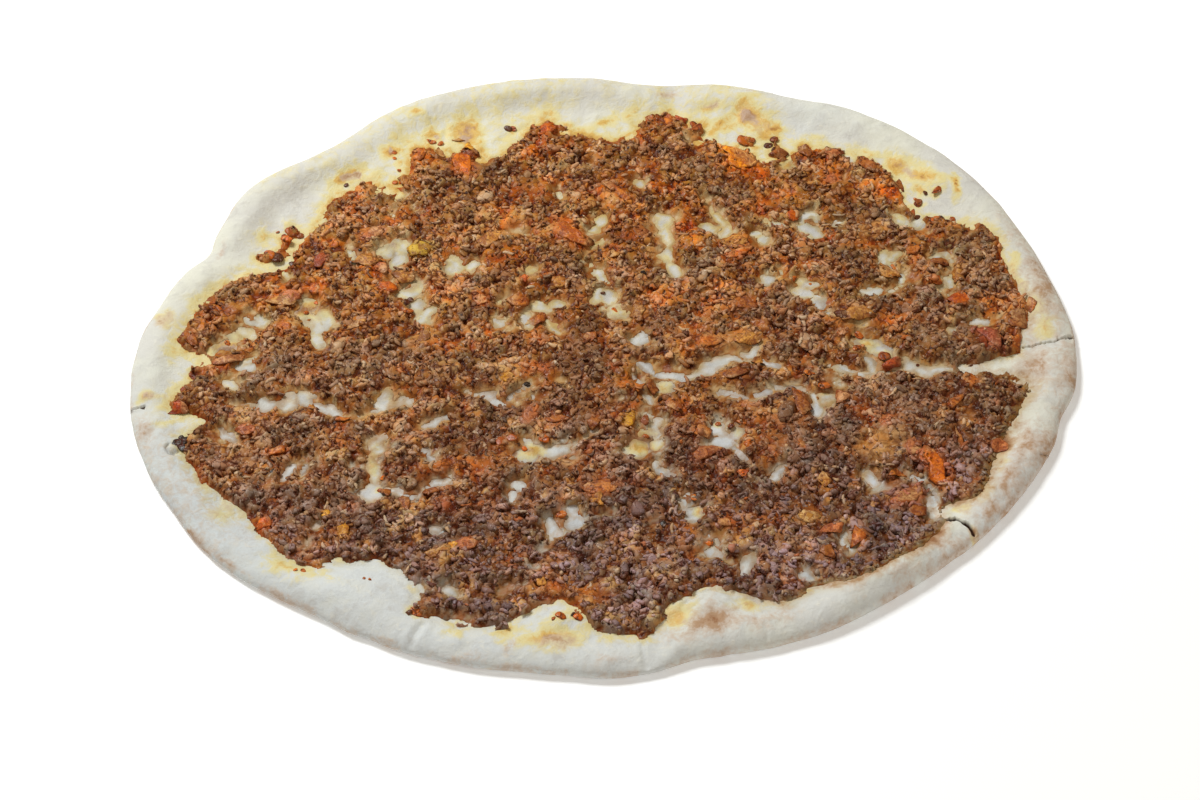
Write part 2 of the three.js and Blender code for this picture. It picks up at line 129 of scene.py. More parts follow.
# small islands of mince in the bare patches
ISLANDS = [
    (-25, -64.6, 4.4, 4.2, 0), (6.8, -32.2, 4.8, 3.8, 0), (5.6, -37.7, 2.8, 2.4, 0), (11, -49.4, 3.2, 2.6, 0),
    (-36.6, -33, 6.0, 4.0, 0), (-25.2, -33.6, 3.4, 4.8, 0), (17.4, -65, 5.0, 2.6, -20), (80, -13.4, 4.2, 2.4, -30),
    (33.4, -38.2, 2.8, 2.6, 0), (37.4, -36.6, 3.4, 3.2, 0), (19, -82, 3.0, 2.4, 0), (-97, 64.4, 8.6, 3.6, 60),
    (-102.8, 58.2, 7.0, 4.0, 0), (-99.6, 60.6, 5.0, 2.4, 45), (-93.4, 67, 3.6, 2.4, 0), (71.4, 81.6, 8.4, 2.8, 105),
    (63, 84.4, 4.6, 3.2, 0), (-122, 19, 2.6, 1.8, 0), (-116.4, 21.4, 2.2, 1.6, 0), (-126, 23, 2.2, 1.6, 30), (-32.0, 17.8, 2.0, 1.4, 0), (77, 44.4, 2.4, 2.0, 0),
]

# narrow inlets cut into the outline of the mince, and lobes that stand out of it
INLETS = [
    (113, -27, 7.5, 3.8, 143), (-60, 82, 5.2, 4.0, 140), (-73, -86, 8.9, 2.2, 101), (-61, -100, 6.6, 2.3, 156),
    (-27, 91, 5.5, 3.8, 1), (-39, 95.5, 4.2, 3.7, 24), (24, 94, 5.4, 2.8, 30), (-128, 17, 5.6, 2.8, 111),
    (5, 98, 5.0, 1.9, 138), (1, -106, 4.9, 1.8, 38), (-136, 5, 3.8, 1.7, 42), (-95, -71, 2.9, 1.9, 0),
    (113, 41, 3.0, 2.0, 134), (-124, 42, 3.3, 1.6, 45), (-53, 95, 4.0, 3.0, 60), (48, 88, 5.0, 2.4, 20),
]
LOBES = [
    (-72, -95, 7.5, 4.2, 139), (-103, -71, 10.0, 2.4, 156), (-31, 95, 6.2, 4.5, 159), (127, -33, 8.8, 2.3, 143),
    (-68, 85, 6.6, 3.0, 4), (-47, 98, 8.5, 2.6, 7), (-133, 24, 6.8, 3.3, 115), (-131, 12, 5.3, 2.6, 49),
    (-7, -113, 5.7, 2.3, 21), (-79, -75, 5.9, 2.0, 141), (-138, -2, 6.1, 2.6, 130), (-49, -104, 4.7, 2.4, 7),
    (-55, 86, 4.4, 2.1, 49), (-3, 104, 4.1, 2.3, 157), (82, 78, 4.5, 3.4, 171), (29, 99, 4.8, 2.4, 32),
    (-26, -102, 3.2, 2.1, 119), (-133, -34, 2.8, 2.0, 129), (-97, 64, 7.0, 3.6, 70), (-94, 68, 4.5, 3.2, -20),
    (-101.5, 58, 6.6, 4.2, -20), (47.5, 92.5, 4.2, 5.2, 0), (72, 77, 6.5, 4.0, 10), (103, 66, 6.0, 4.0, -50),
    (34, 101.5, 6.0, 2.4, 0), (42, 97.5, 4.0, 3.0, -30),
]
# places where the mince is so thin that the dough is veiled rather than bare
THIN = [
    (81, -2, 10, 3.7, 17), (73, 70, 6, 4.1, 7), (-60, -98, 10, 3.1, 160), (-53, 72, 6, 3.2, 108),
    (-92, 34, 8, 3.4, 56), (128, -7, 7, 2.7, 45), (-21, 57, 7, 5.0, 26), (25, 86, 6, 2.3, 63),
    (9, 83, 5, 2.5, 53), (-26, 88, 5, 2.7, 172), (23, 49, 5, 3.2, 166), (-104, -63, 6, 4.4, 56), (-37, -52, 5, 7, 0), (-100, -28.6, 5, 3.4, 0), (-36, -83, 5, 4, 0), (-51, -34, 4, 6, 30),
    (-67, 65, 5, 2.5, 55), (74, -6, 4, 2.7, 151), (42, 90, 5, 2.0, 127), (114, 33, 4, 2.7, 16),
    (-28, -12, 5, 2.6, 76), (-119, -3, 4, 2.8, 18), (20, -64, 4, 2.8, 129), (-65, 41, 5, 3.0, 109),
    (1, 43, 4, 2.6, 62), (97, 11, 5, 2.0, 48), (92, 62, 5, 2.0, 76), (77, -13, 4, 1.8, 129),
    (-73, -29, 4, 2.6, 153), (44, 58, 5, 2.0, 101), (-68, -83, 5, 3.1, 69), (-58, -71, 5, 2.2, 113),
    (8, -45, 4, 1.9, 177), (35, 94, 4, 2.4, 78), (22, 34, 4, 2.0, 90), (70, -16, 3, 1.9, 129),
    (-32, -76, 4, 2.6, 157), (-59, -34, 4, 2.2, 55), (-40, -89, 4, 2.2, 13), (118, 17, 5, 2.2, 54),
    (115, -30, 4, 2.4, 157), (109, -46, 4, 7.0, 15), (-83, 31, 4, 1.8, 126), (-3, 67, 4, 2.2, 54),
    (-99, 46, 3, 2.6, 27), (71, 5, 3, 2.2, 135), (64, 17, 4, 1.8, 43), (-31, 24, 4, 1.8, 161),
    (94, 8, 4, 1.8, 23), (81, 21, 3, 2.0, 0), (0, -22, 5, 2.6, 0), (-84, 24, 4, 1.8, 50),
    (-20, 19, 4, 2.4, 134), (-115, -5, 3, 2.2, 65), (24, 68, 4, 2.0, 45), (95, 19, 3, 2.0, 147),
    (17, -84, 10, 6.5, 60), (76, -70, 14, 4.6, 12), (2, -72, 5, 7.0, 30), (-10, -66, 9, 5.0, 0),
    (-103, -31, 5, 4.4, 60), (-96, -30, 8, 3.0, 80), (-52, 27, 4, 3.0, 0), (8, 3, 5, 4.0, 0),
    (-62, -46, 16, 4.0, 10), (103, 14, 4, 8.0, 30), (98, 18, 4, 6.0, -60), (58, -86, 4, 7.0, 10),
    (45, -98, 3, 7.0, 30), (-3, 70, 4, 6.0, 0), (70, -22, 8, 2.4, -60), (49, -13, 7, 3.0, 150),
    (-17, 14, 4, 5.0, 20), (34, -27, 9, 3.4, -12), (86, -86, 10, 4.4, 30), (-18, -42, 6, 4.0, 60),
    (13, -32, 3, 6.0, 60), (-128, -17, 4, 8.0, 20), (88, -82, 8, 5.0, 70), (-29, 14, 4, 4.0, 0),
]
# what the mince is like from place to place: R orange brown and juicy, M greyish and crumbly, D dark, T tan and smooth
ZONES = [
    (-97, 42, 16, 10, 0, "R"), (-72, 52, 12, 8, 0, "R"), (-68, 42, 8, 10, 0, "R"), (-72, 24, 14, 5, 15, "R"),
    (-98, 27, 10, 12, 0, "R"), (-70, 62, 12, 8, 0, "R"), (-112, 36, 16, 6, 20, "R"), (-57, 84, 12, 8, 60, "R"),
    (-78, 60, 12, 7, 0, "R"), (-88, 37, 8, 10, 0, "R"), (-130, 29, 8, 6, 0, "R"), (-120, 12, 14, 8, 0, "R"),
    (-73, 78, 14, 12, 40, "M"), (-113, 45, 18, 8, 30, "M"), (-84, 64, 14, 8, 20, "M"), (-85, 54, 8, 8, 0, "M"),
    (-100, 10, 24, 14, 0, "M"), (-78, 8, 20, 10, 0, "M"), (-130, 12, 10, 8, 0, "M"), (-60, 5, 20, 12, 0, "M"),
    (-112, 43, 6, 5, 0, "D"), (-68, 75, 8, 4, 0, "D"), (-110, 10, 4, 6, 0, "D"), (-58, 14, 12, 6, 35, "T"),
    (-20, 55, 16, 8, 0, "R"), (-3, 50, 18, 12, -30, "R"), (-30, 45, 8, 8, 0, "R"), (-25, 25, 14, 10, 0, "R"),
    (25, 75, 14, 12, 0, "R"), (12, 65, 10, 12, 0, "R"), (-14, 12, 12, 10, 0, "R"), (15, 14, 6, 8, 0, "T"),
    (36, 50, 10, 8, 0, "R"), (48, 12, 12, 8, 0, "R"), (18, 46, 12, 8, 0, "R"), (-45, 95, 12, 10, 0, "R"),
    (-14, 74, 14, 10, 0, "R"), (12, 90, 12, 8, 0, "R"), (-8, 5, 12, 8, 0, "R"), (-34, 90, 10, 12, 0, "R"),
    (-40, 80, 18, 12, 0, "M"), (0, 80, 22, 10, 0, "M"), (14, 30, 20, 10, 0, "M"), (35, 28, 16, 10, 0, "M"),
    (-10, 36, 14, 10, 0, "M"), (-40, 35, 12, 10, 0, "M"), (38, 80, 18, 12, 0, "M"), (-40, 66, 16, 8, 0, "M"),
    (70, 55, 20, 12, 0, "R"), (55, 40, 14, 8, 0, "R"), (88, 60, 12, 10, 0, "R"), (97, 36, 8, 6, 0, "T"),
    (102, 12, 12, 8, 60, "R"), (115, 30, 12, 8, 0, "R"), (83, 0, 12, 8, 0, "T"), (105, 53, 14, 10, 0, "R"),
    (83, 75, 8, 8, 0, "R"), (90, 30, 14, 6, 0, "R"), (63, 68, 16, 8, 0, "R"), (68, 33, 16, 14, 0, "M"),
    (52, 60, 14, 14, 0, "M"), (100, 42, 12, 12, 0, "M"), (85, 20, 12, 14, 0, "M"), (96, 5, 16, 9, 0, "M"),
    (125, 25, 14, 14, 0, "M"), (130, 10, 14, 14, 0, "M"), (70, 3, 14, 8, 0, "M"), (104, 66, 7, 5, -40, "D"),
    (-25, -8, 20, 10, 0, "R"), (5, -15, 12, 8, 0, "R"), (8, -27, 18, 8, 0, "R"), (42, -42, 15, 22, 0, "R"),
    (45, -4, 16, 8, 0, "T"), (33, -3, 10, 8, 0, "R"), (36, -20, 18, 10, 0, "R"), (-36, -33, 12, 6, 0, "R"),
    (-45, -42, 12, 12, 0, "R"), (-22, -47, 12, 8, 0, "R"), (14, -77, 8, 8, 0, "R"), (-20, -97, 16, 9, 0, "R"),
    (-35, -92, 18, 6, 0, "R"), (27, -78, 8, 10, 0, "R"), (-8, -30, 10, 6, 0, "R"), (-20, -78, 24, 16, 0, "M"),
    (0, -65, 14, 12, 0, "M"), (5, -87, 22, 14, 0, "M"), (40, -92, 20, 14, 0, "M"), (-8, -42, 20, 14, 0, "M"),
    (8, -93, 12, 7, 0, "D"), (-22, -83, 8, 5, 0, "D"), (-44, -66, 10, 4, 0, "D"), (36, -84, 10, 6, 0, "D"),
    (-60, -40, 18, 10, 0, "R"), (-107, -39, 14, 5, 0, "R"), (-118, -15, 12, 6, 0, "R"), (-58, -90, 20, 5, 5, "R"),
    (-95, -70, 20, 3, 0, "D"), (-78, -71.5, 12, 4, -10, "D"), (-75, -49, 8, 8, 0, "R"), (-85, -16, 10, 6, 0, "R"),
    (-100, -62, 10, 8, 0, "R"), (-118, -55, 10, 8, 0, "R"), (-105, -20, 20, 12, 0, "M"), (-95, -46, 24, 18, 0, "M"),
    (-70, -38, 12, 10, 0, "M"), (-108, -52, 14, 12, 0, "M"), (-128, -30, 10, 12, 0, "M"), (-75, -82, 12, 8, -30, "M"),
    (-56, -68, 12, 10, 0, "M"), (80, -53, 18, 12, 20, "T"), (57, -33, 8, 14, 0, "R"), (105, -55, 5, 12, 0, "R"),
    (64, -88, 8, 12, 0, "R"), (100, -78, 14, 6, 20, "R"), (85, -18, 8, 6, 0, "R"), (88, -5, 14, 6, 0, "R"),
    (120, -12, 12, 10, 0, "R"), (54, -80, 14, 8, 0, "R"), (88, -90, 10, 5, 40, "R"), (95, -38, 24, 18, 0, "M"),
    (62, -58, 16, 14, 0, "M"), (120, -42, 16, 16, 0, "M"), (105, -66, 14, 14, 0, "M"), (76, -84, 18, 12, 0, "M"),
    (55, -97, 20, 9, 0, "M"), (100, -15, 14, 7, 0, "M"), (80, -33, 24, 9, 0, "M"), (58, -10, 16, 8, 0, "M"),
]
# dark clefts in the mince
CLEFTS = [
    ([(-67, 10), (-64.5, 12.5), (-62, 15.5), (-59, 18)], 0.55), ([(-75, 9), (-71, 8.5), (-68, 6)], 0.5),
    ([(-66, 3), (-64, 1), (-63.5, -1)], 0.5), ([(-14, -57.8), (-8, -58.3), (-4, -57.6), (-1, -55.8)], 0.6),
    ([(-3, -57.5), (4, -58.3), (10, -58)], 0.35), ([(-46, -66), (-43, -67), (-41.5, -69.5)], 0.5),
    ([(-41.5, -67.5), (-36, -67.6), (-31, -68)], 0.4), ([(27, -61), (31, -58.8), (34, -56.5)], 0.4),
    ([(18, -30), (22, -27), (25, -24)], 0.4), ([(60, -8.5), (64, -6.2), (68, -5.6), (72, -4.8)], 0.45),
    ([(91, -50), (89.5, -53), (90, -56), (93, -56.5)], 0.6), ([(103, -51), (104, -57), (108, -61)], 0.45),
    ([(41, -86), (44, -84.5), (47, -82)], 0.5), ([(-18, -83), (-20.5, -85), (-22, -83)], 0.55),
    ([(-99, -49), (-96.5, -51)], 0.55), ([(-95, -38.5), (-93.5, -36)], 0.5), ([(78, -84), (80, -81)], 0.5),
    ([(71, -88), (75, -85.5)], 0.4), ([(96, 52), (95, 49), (96, 46)], 0.45), ([(84, 14), (88, 17), (91, 18)], 0.4),
    ([(-46, 79), (-44, 77.5), (-41, 78)], 0.4), ([(-35, 68), (-31, 69)], 0.4), ([(-27, 76), (-28, 73)], 0.4),
    ([(-8, 80), (-5, 77.5), (-1, 76.5), (3, 76)], 0.4), ([(48, 20), (52, 19), (55, 17)], 0.35),
    ([(-105, -34), (-103, -36.5), (-100, -36)], 0.3), ([(52, -81.5), (55, -81.6), (59, -80)], 0.4),
    ([(-104, -69.5), (-98, -68.8), (-91, -68.6), (-84, -70.4), (-78, -72), (-73, -75)], 0.5),
    ([(-115, -33.5), (-111, -34), (-110, -32)], 0.35), ([(33, 20), (37, 24), (41, 25)], 0.35),
    ([(-15, -97), (-8, -98), (0, -96)], 0.35), ([(-28, -96), (-34, -95), (-41, -94.5)], 0.45),
    ([(70, -71.5), (75, -67.5), (82, -66.5)], 0.35), ([(-28, 0), (-25, 3), (-22, 2)], 0.4),
]
# the tones of cooked vegetables and of fried crumbs
TONES = {
    "orange": (206, 92, 20),
    "amber": (206, 134, 36),
    "red": (170, 66, 30),
    "salmon": (184, 100, 68),
    "rust": (186, 96, 36),
    "tan": (190, 120, 62),
    "umber": (150, 78, 36),
    "charred": (30, 20, 15),
    "burnt": (70, 40, 24),
    "dark": (108, 58, 26),
    "brown": (128, 68, 30),
    "nut": (150, 84, 32),
    "toffee": (166, 90, 28),
    "stain": (184, 110, 38),
    "gold": (196, 140, 46),
}


def toned(rows, at, spread):
    """Gives each row the tone that its word names, a little lighter or darker from one row to the next."""
    rng = np.random.default_rng(27)
    out = []
    for row in rows:
        k = 1 + spread * rng.uniform(-1, 1)
        out.append((*row[:at], tuple(min(255.0, v * k) for v in TONES[row[at]])))
    return out


# loose crumbs, most of them on bare dough: x, y, radius, tone
LOOSE = [
    (-24.6, -64.4, 1.5, "nut"), (7.2, -31.8, 1.6, "dark"), (6, -37.6, 1.2, "brown"), (11, -49.4, 1.3, "stain"),
    (11.4, -44.2, 1, "gold"), (33.4, -38.4, 1, "dark"), (29.8, -36.2, 1, "brown"), (37.4, -36.8, 1.7, "nut"),
    (37.6, -46.6, 1.9, "nut"), (17, -64.6, 1.3, "nut"), (20, -66.4, 0.9, "stain"), (18, -82.4, 1.3, "toffee"),
    (-38.4, -32.8, 2.2, "brown"), (-35.4, -32.6, 1.5, "brown"), (-32, -36.2, 0.9, "toffee"), (-25.2, -34.2, 1.7, "nut"),
    (-36.6, -36.4, 1.6, "gold"), (79.6, -13.2, 1.8, "nut"), (81.6, -7.2, 1.5, "nut"), (87.6, -17.6, 2, "brown"),
    (65.8, -27.4, 1.9, "nut"), (62.4, -21.4, 1.6, "nut"), (-69.8, -8.8, 1, "stain"), (-60.6, 26.4, 1.6, "nut"),
    (-61, 30.4, 1.5, "burnt"), (-59.4, 31.6, 1, "burnt"), (-16.4, 104, 1.3, "burnt"), (-14.8, 103.6, 1.1, "brown"),
    (-43, 102.4, 1.5, "nut"), (-40.6, 104.2, 1, "gold"), (-40.2, 101, 1.2, "nut"), (-56.2, 99.2, 0.8, "nut"),
    (-56.6, 96.6, 0.7, "toffee"), (-57, 101.2, 0.9, "gold"), (-55.6, 90.6, 1, "nut"), (-57.8, 85.4, 0.9, "nut"),
    (-72.6, 88.6, 1.9, "gold"), (-70.2, 89.6, 1.7, "gold"), (-74.2, 86.6, 0.8, "burnt"), (-94.4, 67.2, 2.3, "brown"),
    (-91.8, 66.2, 1.3, "dark"), (-97, 66.6, 1, "dark"), (-96.6, 64, 1.6, "toffee"), (-102.6, 58.4, 2.4, "nut"),
    (-100.6, 57, 2.3, "burnt"), (-104.4, 60, 1.1, "gold"), (-99, 69.4, 0.6, "brown"), (-95.4, 53.8, 1.3, "burnt"),
    (62, 85.2, 2.2, "nut"), (64.4, 84.4, 1.3, "brown"), (62.4, 81, 0.9, "burnt"), (72, 83.6, 1.5, "dark"),
    (69.6, 81.6, 1.5, "burnt"), (71.2, 79.2, 1.2, "burnt"), (113.8, 46.6, 1.5, "dark"), (117.2, 50.6, 0.8, "burnt"),
    (121, 50.2, 1.7, "brown"), (113.6, 48.6, 0.8, "nut"), (111.2, 42.6, 1.3, "brown"), (112.2, 40.4, 1.2, "burnt"),
    (118, 36.4, 1.8, "nut"), (119.6, 38.2, 1.2, "charred"), (123.4, 37.4, 1.1, "brown"), (47, 92.6, 1.9, "brown"),
    (46.6, 95.4, 1.4, "brown"), (-31, -103.4, 1.7, "nut"), (-27.4, -102.8, 0.8, "charred"), (-26, -104, 1.5, "toffee"),
    (-33.4, -104, 0.8, "brown"), (-138.2, -17.2, 2.3, "charred"), (-137.2, -19.4, 1.6, "charred"), (-136.2, -21.2, 1.2, "burnt"),
    (-137.4, -14.8, 1.1, "charred"), (-73.4, -94.6, 1.9, "nut"), (-76, -95, 1.2, "burnt"), (-70.6, -96.4, 1, "stain"),
    (-87.6, -80.8, 0.5, "brown"), (-86, -81.4, 0.5, "nut"), (-105.4, -74.2, 0.7, "nut"), (-107.8, -73.6, 0.7, "toffee"),
    (5.6, -73.4, 1.1, "charred"), (24.4, -72.4, 1, "charred"), (-110.8, -33.4, 1, "charred"), (-27.2, -10.4, 1.1, "charred"),
    (-100.4, -8.2, 0.8, "charred"), (-78.6, -45.2, 0.9, "brown"), (120.6, -32.8, 1, "gold"), (128.6, -15, 0.9, "charred"),
    (3, 24.2, 0.7, "burnt"), (17.2, 28.6, 0.9, "charred"), (-10.2, 61.6, 0.9, "burnt"), (-72.6, 56, 1, "charred"),
    (-76.6, 51.8, 1, "burnt"), (-120.6, 20.8, 1.6, "gold"), (-117.6, 18.6, 1.6, "stain"), (-119.8, 22.8, 1, "nut"),
    (-114.6, 19.2, 1.2, "gold"), (-122.8, 19.6, 1.2, "gold"), (-116.8, 21.8, 1, "gold"), (-93.4, 32, 0.9, "nut"),
    (-89.8, 35.6, 0.8, "toffee"), (97.6, -22.2, 0.6, "burnt"), (114.4, -25.4, 0.9, "burnt"), (70.8, 17.4, 0.5, "nut"),
    (5.6, 16.2, 1.2, "toffee"), (-6.8, 18, 0.9, "toffee"), (-21.8, 33.8, 1, "burnt"), (65.6, 20.4, 1.3, "nut"),
    (99.6, 19.6, 1.4, "nut"), (-77.4, -40.6, 0.9, "toffee"), (57, -29, 1.4, "nut"),
]
LOOSE = toned(LOOSE, 3, 0.0)

# ------------------------------------------------------------------ noise and small helpers


def lattice(ix, iy, iz, seed):
    with np.errstate(over="ignore"):
        h = (
            ix.astype(np.int64).astype(np.uint32) * np.uint32(374761393)
            + iy.astype(np.int64).astype(np.uint32) * np.uint32(668265263)
            + iz.astype(np.int64).astype(np.uint32) * np.uint32(2246822519)
            + np.uint32((seed * 3266489917 + 12345) % 4294967296)
        )
        h ^= h >> np.uint32(15)
        h *= np.uint32(2246822519)
        h ^= h >> np.uint32(13)
        h *= np.uint32(3266489917)
        h ^= h >> np.uint32(16)
    return h.astype(np.float64) / 4294967295.0


def smooth(t):
    t = np.clip(t, 0.0, 1.0)
    return t * t * (3 - 2 * t)


def noise2(x, y, size, seed=0):
    """Smooth value noise from -1 to 1, with bumps about size apart."""
    x, y = np.asarray(x, float) / size + 1000.37, np.asarray(y, float) / size + 1000.71
    ix, iy = np.floor(x), np.floor(y)
    fx, fy = x - ix, y - iy
    fx, fy = fx**3 * (fx * (fx * 6 - 15) + 10), fy**3 * (fy * (fy * 6 - 15) + 10)
    z = np.zeros_like(ix)
    a, b = lattice(ix, iy, z, seed), lattice(ix + 1, iy, z, seed)
    c, d = lattice(ix, iy + 1, z, seed), lattice(ix + 1, iy + 1, z, seed)
    return 2 * (a + (b - a) * fx + (c - a) * fy + (a - b - c + d) * fx * fy) - 1


def fbm2(x, y, size, octaves=3, seed=0):
    total, gain, norm = 0.0, 1.0, 0.0
    for k in range(octaves):
        ca, sa = math.cos(0.6 + k), math.sin(0.6 + k)
        total = total + gain * noise2(x * ca - y * sa, x * sa + y * ca, size / 2.03**k, seed + 17 * k)
        norm += gain
        gain *= 0.5
    return total / norm * 1.35


def noise3(p, size, seed=0):
    p = np.asarray(p, float) / size + 500.37
    i = np.floor(p)
    f = p - i
    f = f**3 * (f * (f * 6 - 15) + 10)
    out = 0.0
    for dx in (0, 1):
        for dy in (0, 1):
            for dz in (0, 1):
                w = (
                    (f[..., 0] if dx else 1 - f[..., 0])
                    * (f[..., 1] if dy else 1 - f[..., 1])
                    * (f[..., 2] if dz else 1 - f[..., 2])
                )
                out = out + w * lattice(i[..., 0] + dx, i[..., 1] + dy, i[..., 2] + dz, seed)
    return 2 * out - 1


def cells(x, y, size, seed=0):
    """Distance to the nearest of scattered points about size apart, and a random number for that point."""
    gx, gy = x / size + 1000.0, y / size + 1000.0
    ix, iy = np.floor(gx), np.floor(gy)
    near = np.full(x.shape, 9.0)
    who = np.zeros(x.shape)
    z = np.zeros_like(ix)
    for dx in (-1, 0, 1):
        for dy in (-1, 0, 1):
            cx, cy = ix + dx, iy + dy
            px = cx + 0.1 + 0.8 * lattice(cx, cy, z, seed)
            py = cy + 0.1 + 0.8 * lattice(cx, cy, z, seed + 5)
            d = np.hypot(px - gx, py - gy)
            who = np.where(d < near, lattice(cx, cy, z, seed + 9), who)
            near = np.minimum(near, d)
    return near * size, who


def clods(x, y, size, seed, soft=0.6):
    """Uneven cells about size across: distance to the border, numbers of the nearest cell, and softly mixed numbers."""
    gx, gy = x / size + 1000.0, y / size + 1000.0
    ix, iy = np.floor(gx), np.floor(gy)
    z = np.zeros_like(ix)
    away, dx_, dy_, numbers = [], [], [], []
    for dx in (-1, 0, 1):
        for dy in (-1, 0, 1):
            cx, cy = ix + dx, iy + dy
            px = cx + 0.08 + 0.84 * lattice(cx, cy, z, seed) - gx
            py = cy + 0.08 + 0.84 * lattice(cx, cy, z, seed + 5) - gy
            away.append(np.hypot(px, py))
            dx_.append(px)
            dy_.append(py)
            numbers.append([lattice(cx, cy, z, seed + k) for k in (9, 11, 13)])
    away, numbers = np.array(away), np.array(numbers)
    k = away.argmin(0)[None]
    d1 = np.take_along_axis(away, k, 0)[0]
    rest = away.copy()
    np.put_along_axis(rest, k, 9.0, 0)
    border = (rest.min(0) - d1) * size
    own = np.take_along_axis(numbers, k[:, None], 0)[0]
    slope = (
        np.take_along_axis(np.array(dx_), k, 0)[0] * (own[1] - 0.5)
        + np.take_along_axis(np.array(dy_), k, 0)[0] * (own[2] - 0.5)
    ) * size
    w = np.exp(-(away - d1) * size / soft)
    mixed = (w[:, None] * numbers).sum(0) / w.sum(0)
    return border, own, slope, mixed


def torn(x, y, size, seed):
    """Cells like clods, but drawn out to 1.8 times their width along ways that change from place to place."""
    pull = np.array([noise2(x, y, 2.4 * size, seed + 100 + k) for k in range(3)]).argmax(0)
    border, own, slope = np.zeros(x.shape), np.zeros((3,) + x.shape), np.zeros(x.shape)
    for k, angle in enumerate((8, 66, 128)):
        m = pull == k
        c, q = math.cos(math.radians(angle)), math.sin(math.radians(angle))
        u, v = (x[m] * c + y[m] * q) / 1.75, y[m] * c - x[m] * q
        border[m], own[:, m], slope[m], _ = clods(u, v, size, seed + 30 * k)
    return border, own, slope


def turned(x, y, s):
    c, k = math.cos(math.radians(s[4])), math.sin(math.radians(s[4]))
    dx, dy = x - s[0], y - s[1]
    return (dx * c + dy * k) / (s[2] / 2), (dy * c - dx * k) / (s[3] / 2)


def close_by(x, y, s, extra):
    reach = max(s[2], s[3]) / 2 + extra
    return (np.abs(x - s[0]) < reach) & (np.abs(y - s[1]) < reach)


def oval_distance(x, y, s):
    """Roughly the distance in mm outside an oval; negative within it."""
    u, v = turned(x, y, s)
    q = np.sqrt(u * u + v * v)
    slope = np.sqrt((u / (s[2] / 2)) ** 2 + (v / (s[3] / 2)) ** 2)
    return np.where(q < 0.05, -s[3] / 2, (q - 1) * q / np.maximum(slope, 1e-6))


def srgb(r, g, b):
    """A colour of 0 to 255 as the eye sees it, in linear light."""
    c = np.array([r, g, b], float) / 255
    return np.where(c <= 0.04045, c / 12.92, ((c + 0.055) / 1.055) ** 2.4)


def mix(a, b, t):
    return a + (b - a) * np.asarray(t)[..., None]


# ------------------------------------------------------------------ outlines

DEG = np.arange(0, 360, 0.25)


def hills(rows, a):
    total = 0.0 * a
    for at, height, spread in rows:
        total = total + height * np.exp(-((((a - at) + 180) % 360 - 180) / spread) ** 2)
    return total


def around(rows, a):
    """Noise that closes on itself round the bread."""
    total = 0.0
    for size, amount, seed in rows:
        p = np.stack([135 * np.cos(np.radians(a)), 135 * np.sin(np.radians(a)), 0 * a], -1)
        total = total + amount * noise3(p, size, seed)
    return total


BREAD_TAB = MEAN_RADIUS + hills(OUTLINE_BULGES, DEG)
for n, height, at in OUTLINE_WAVES:
    BREAD_TAB = BREAD_TAB + height * np.cos(n * np.radians(DEG - at))
MINCE_TAB = BREAD_TAB - MARGIN - hills(MARGIN_BAYS, DEG)
BREAD_TAB = BREAD_TAB + around([(11.0, 0.45, 3), (4.0, 0.16, 4)], DEG)
RIM_TAB = RIM_HEIGHT + hills(RIM_SWELLS, DEG) + around([(26.0, 0.5, 6)], DEG)
SLOPE = np.gradient(np.r_[MINCE_TAB[-2:], MINCE_TAB, MINCE_TAB[:2]], math.radians(0.25))[2:-2] / MINCE_TAB
MINCE_COS = 1 / np.sqrt(1 + SLOPE**2)


def table(tab, a):
    return np.interp(a % 360, DEG, tab, period=360)


def polar(x, y):
    return np.degrees(np.arctan2(y, x)), np.hypot(x, y)


# ------------------------------------------------------------------ heights of the bread

# folds in the bread: points, width, depth
CREASES = [
    ([(-150, -1), (-130, -6), (-100, -6), (-88, -12), (-70, -10), (-40, -12), (-33, -16), (15, -13)], 2.6, 0.55),
    ([(45, -10), (75, -20), (95, -23), (120, -26), (133, -22), (149, -20)], 2.4, 0.6),
    ([(42, 113), (28, 45), (5, 22), (15, -15), (8, -40), (15, -68), (10, -100), (-8, -124)], 2.6, 0.45),
    ([(-77.5, -109), (-75.5, -104), (-72.5, -99.5)], 1.0, 0.8),
    ([(3, -98), (9, -95.5), (17, -95.5), (24, -98)], 0.9, 0.5),
    ([(5, -104), (10, -101.8), (16, -101.6), (21, -103.4)], 0.6, 0.5),
    ([(8, -106.4), (13, -104.6), (18, -105.4)], 0.5, 0.4),
    ([(-142, -6), (-146, -12), (-148, -17)], 0.9, 0.45),
    ([(28, -116), (29, -124)], 0.7, 0.4),
    ([(-9, -117), (-8, -125)], 0.8, 0.6),
    ([(-27, 94), (-17, 101), (-10, 105)], 0.9, 0.3),
    ([(-40, 100), (-38, 108)], 0.8, 0.25),
    ([(-99, -72), (-92, -74.5), (-84, -76), (-77, -82), (-73, -89)], 0.8, 0.35),
    ([(-60, -101), (-52, -99), (-43, -97.5), (-35, -97)], 0.7, 0.3),
    ([(127, -30), (133, -34), (139, -36)], 1.2, 0.5),
    ([(133, -47), (138, -50), (141, -55)], 1.0, 0.4),
]
# cracks right through the crust: points, half width, depth, how dark
CRACKS = [
    ([(132.5, -21), (135.5, -20.6), (139, -19.9), (143, -20.3), (147, -19.6), (150.5, -19.6)], 0.26, 1.4, 0.8),
    ([(91.5, -86.4), (94, -86.8), (95.5, -88), (97, -90.2), (98, -91.6), (98.6, -93)], 0.66, 1.9, 1.1),
    ([(126, -66.5), (128, -66.3), (130, -65.5)], 0.25, 0.7, 0.45),
    ([(-152.8, -0.3), (-150.5, -0.1), (-148, -0.6)], 0.22, 0.9, 0.75),
]
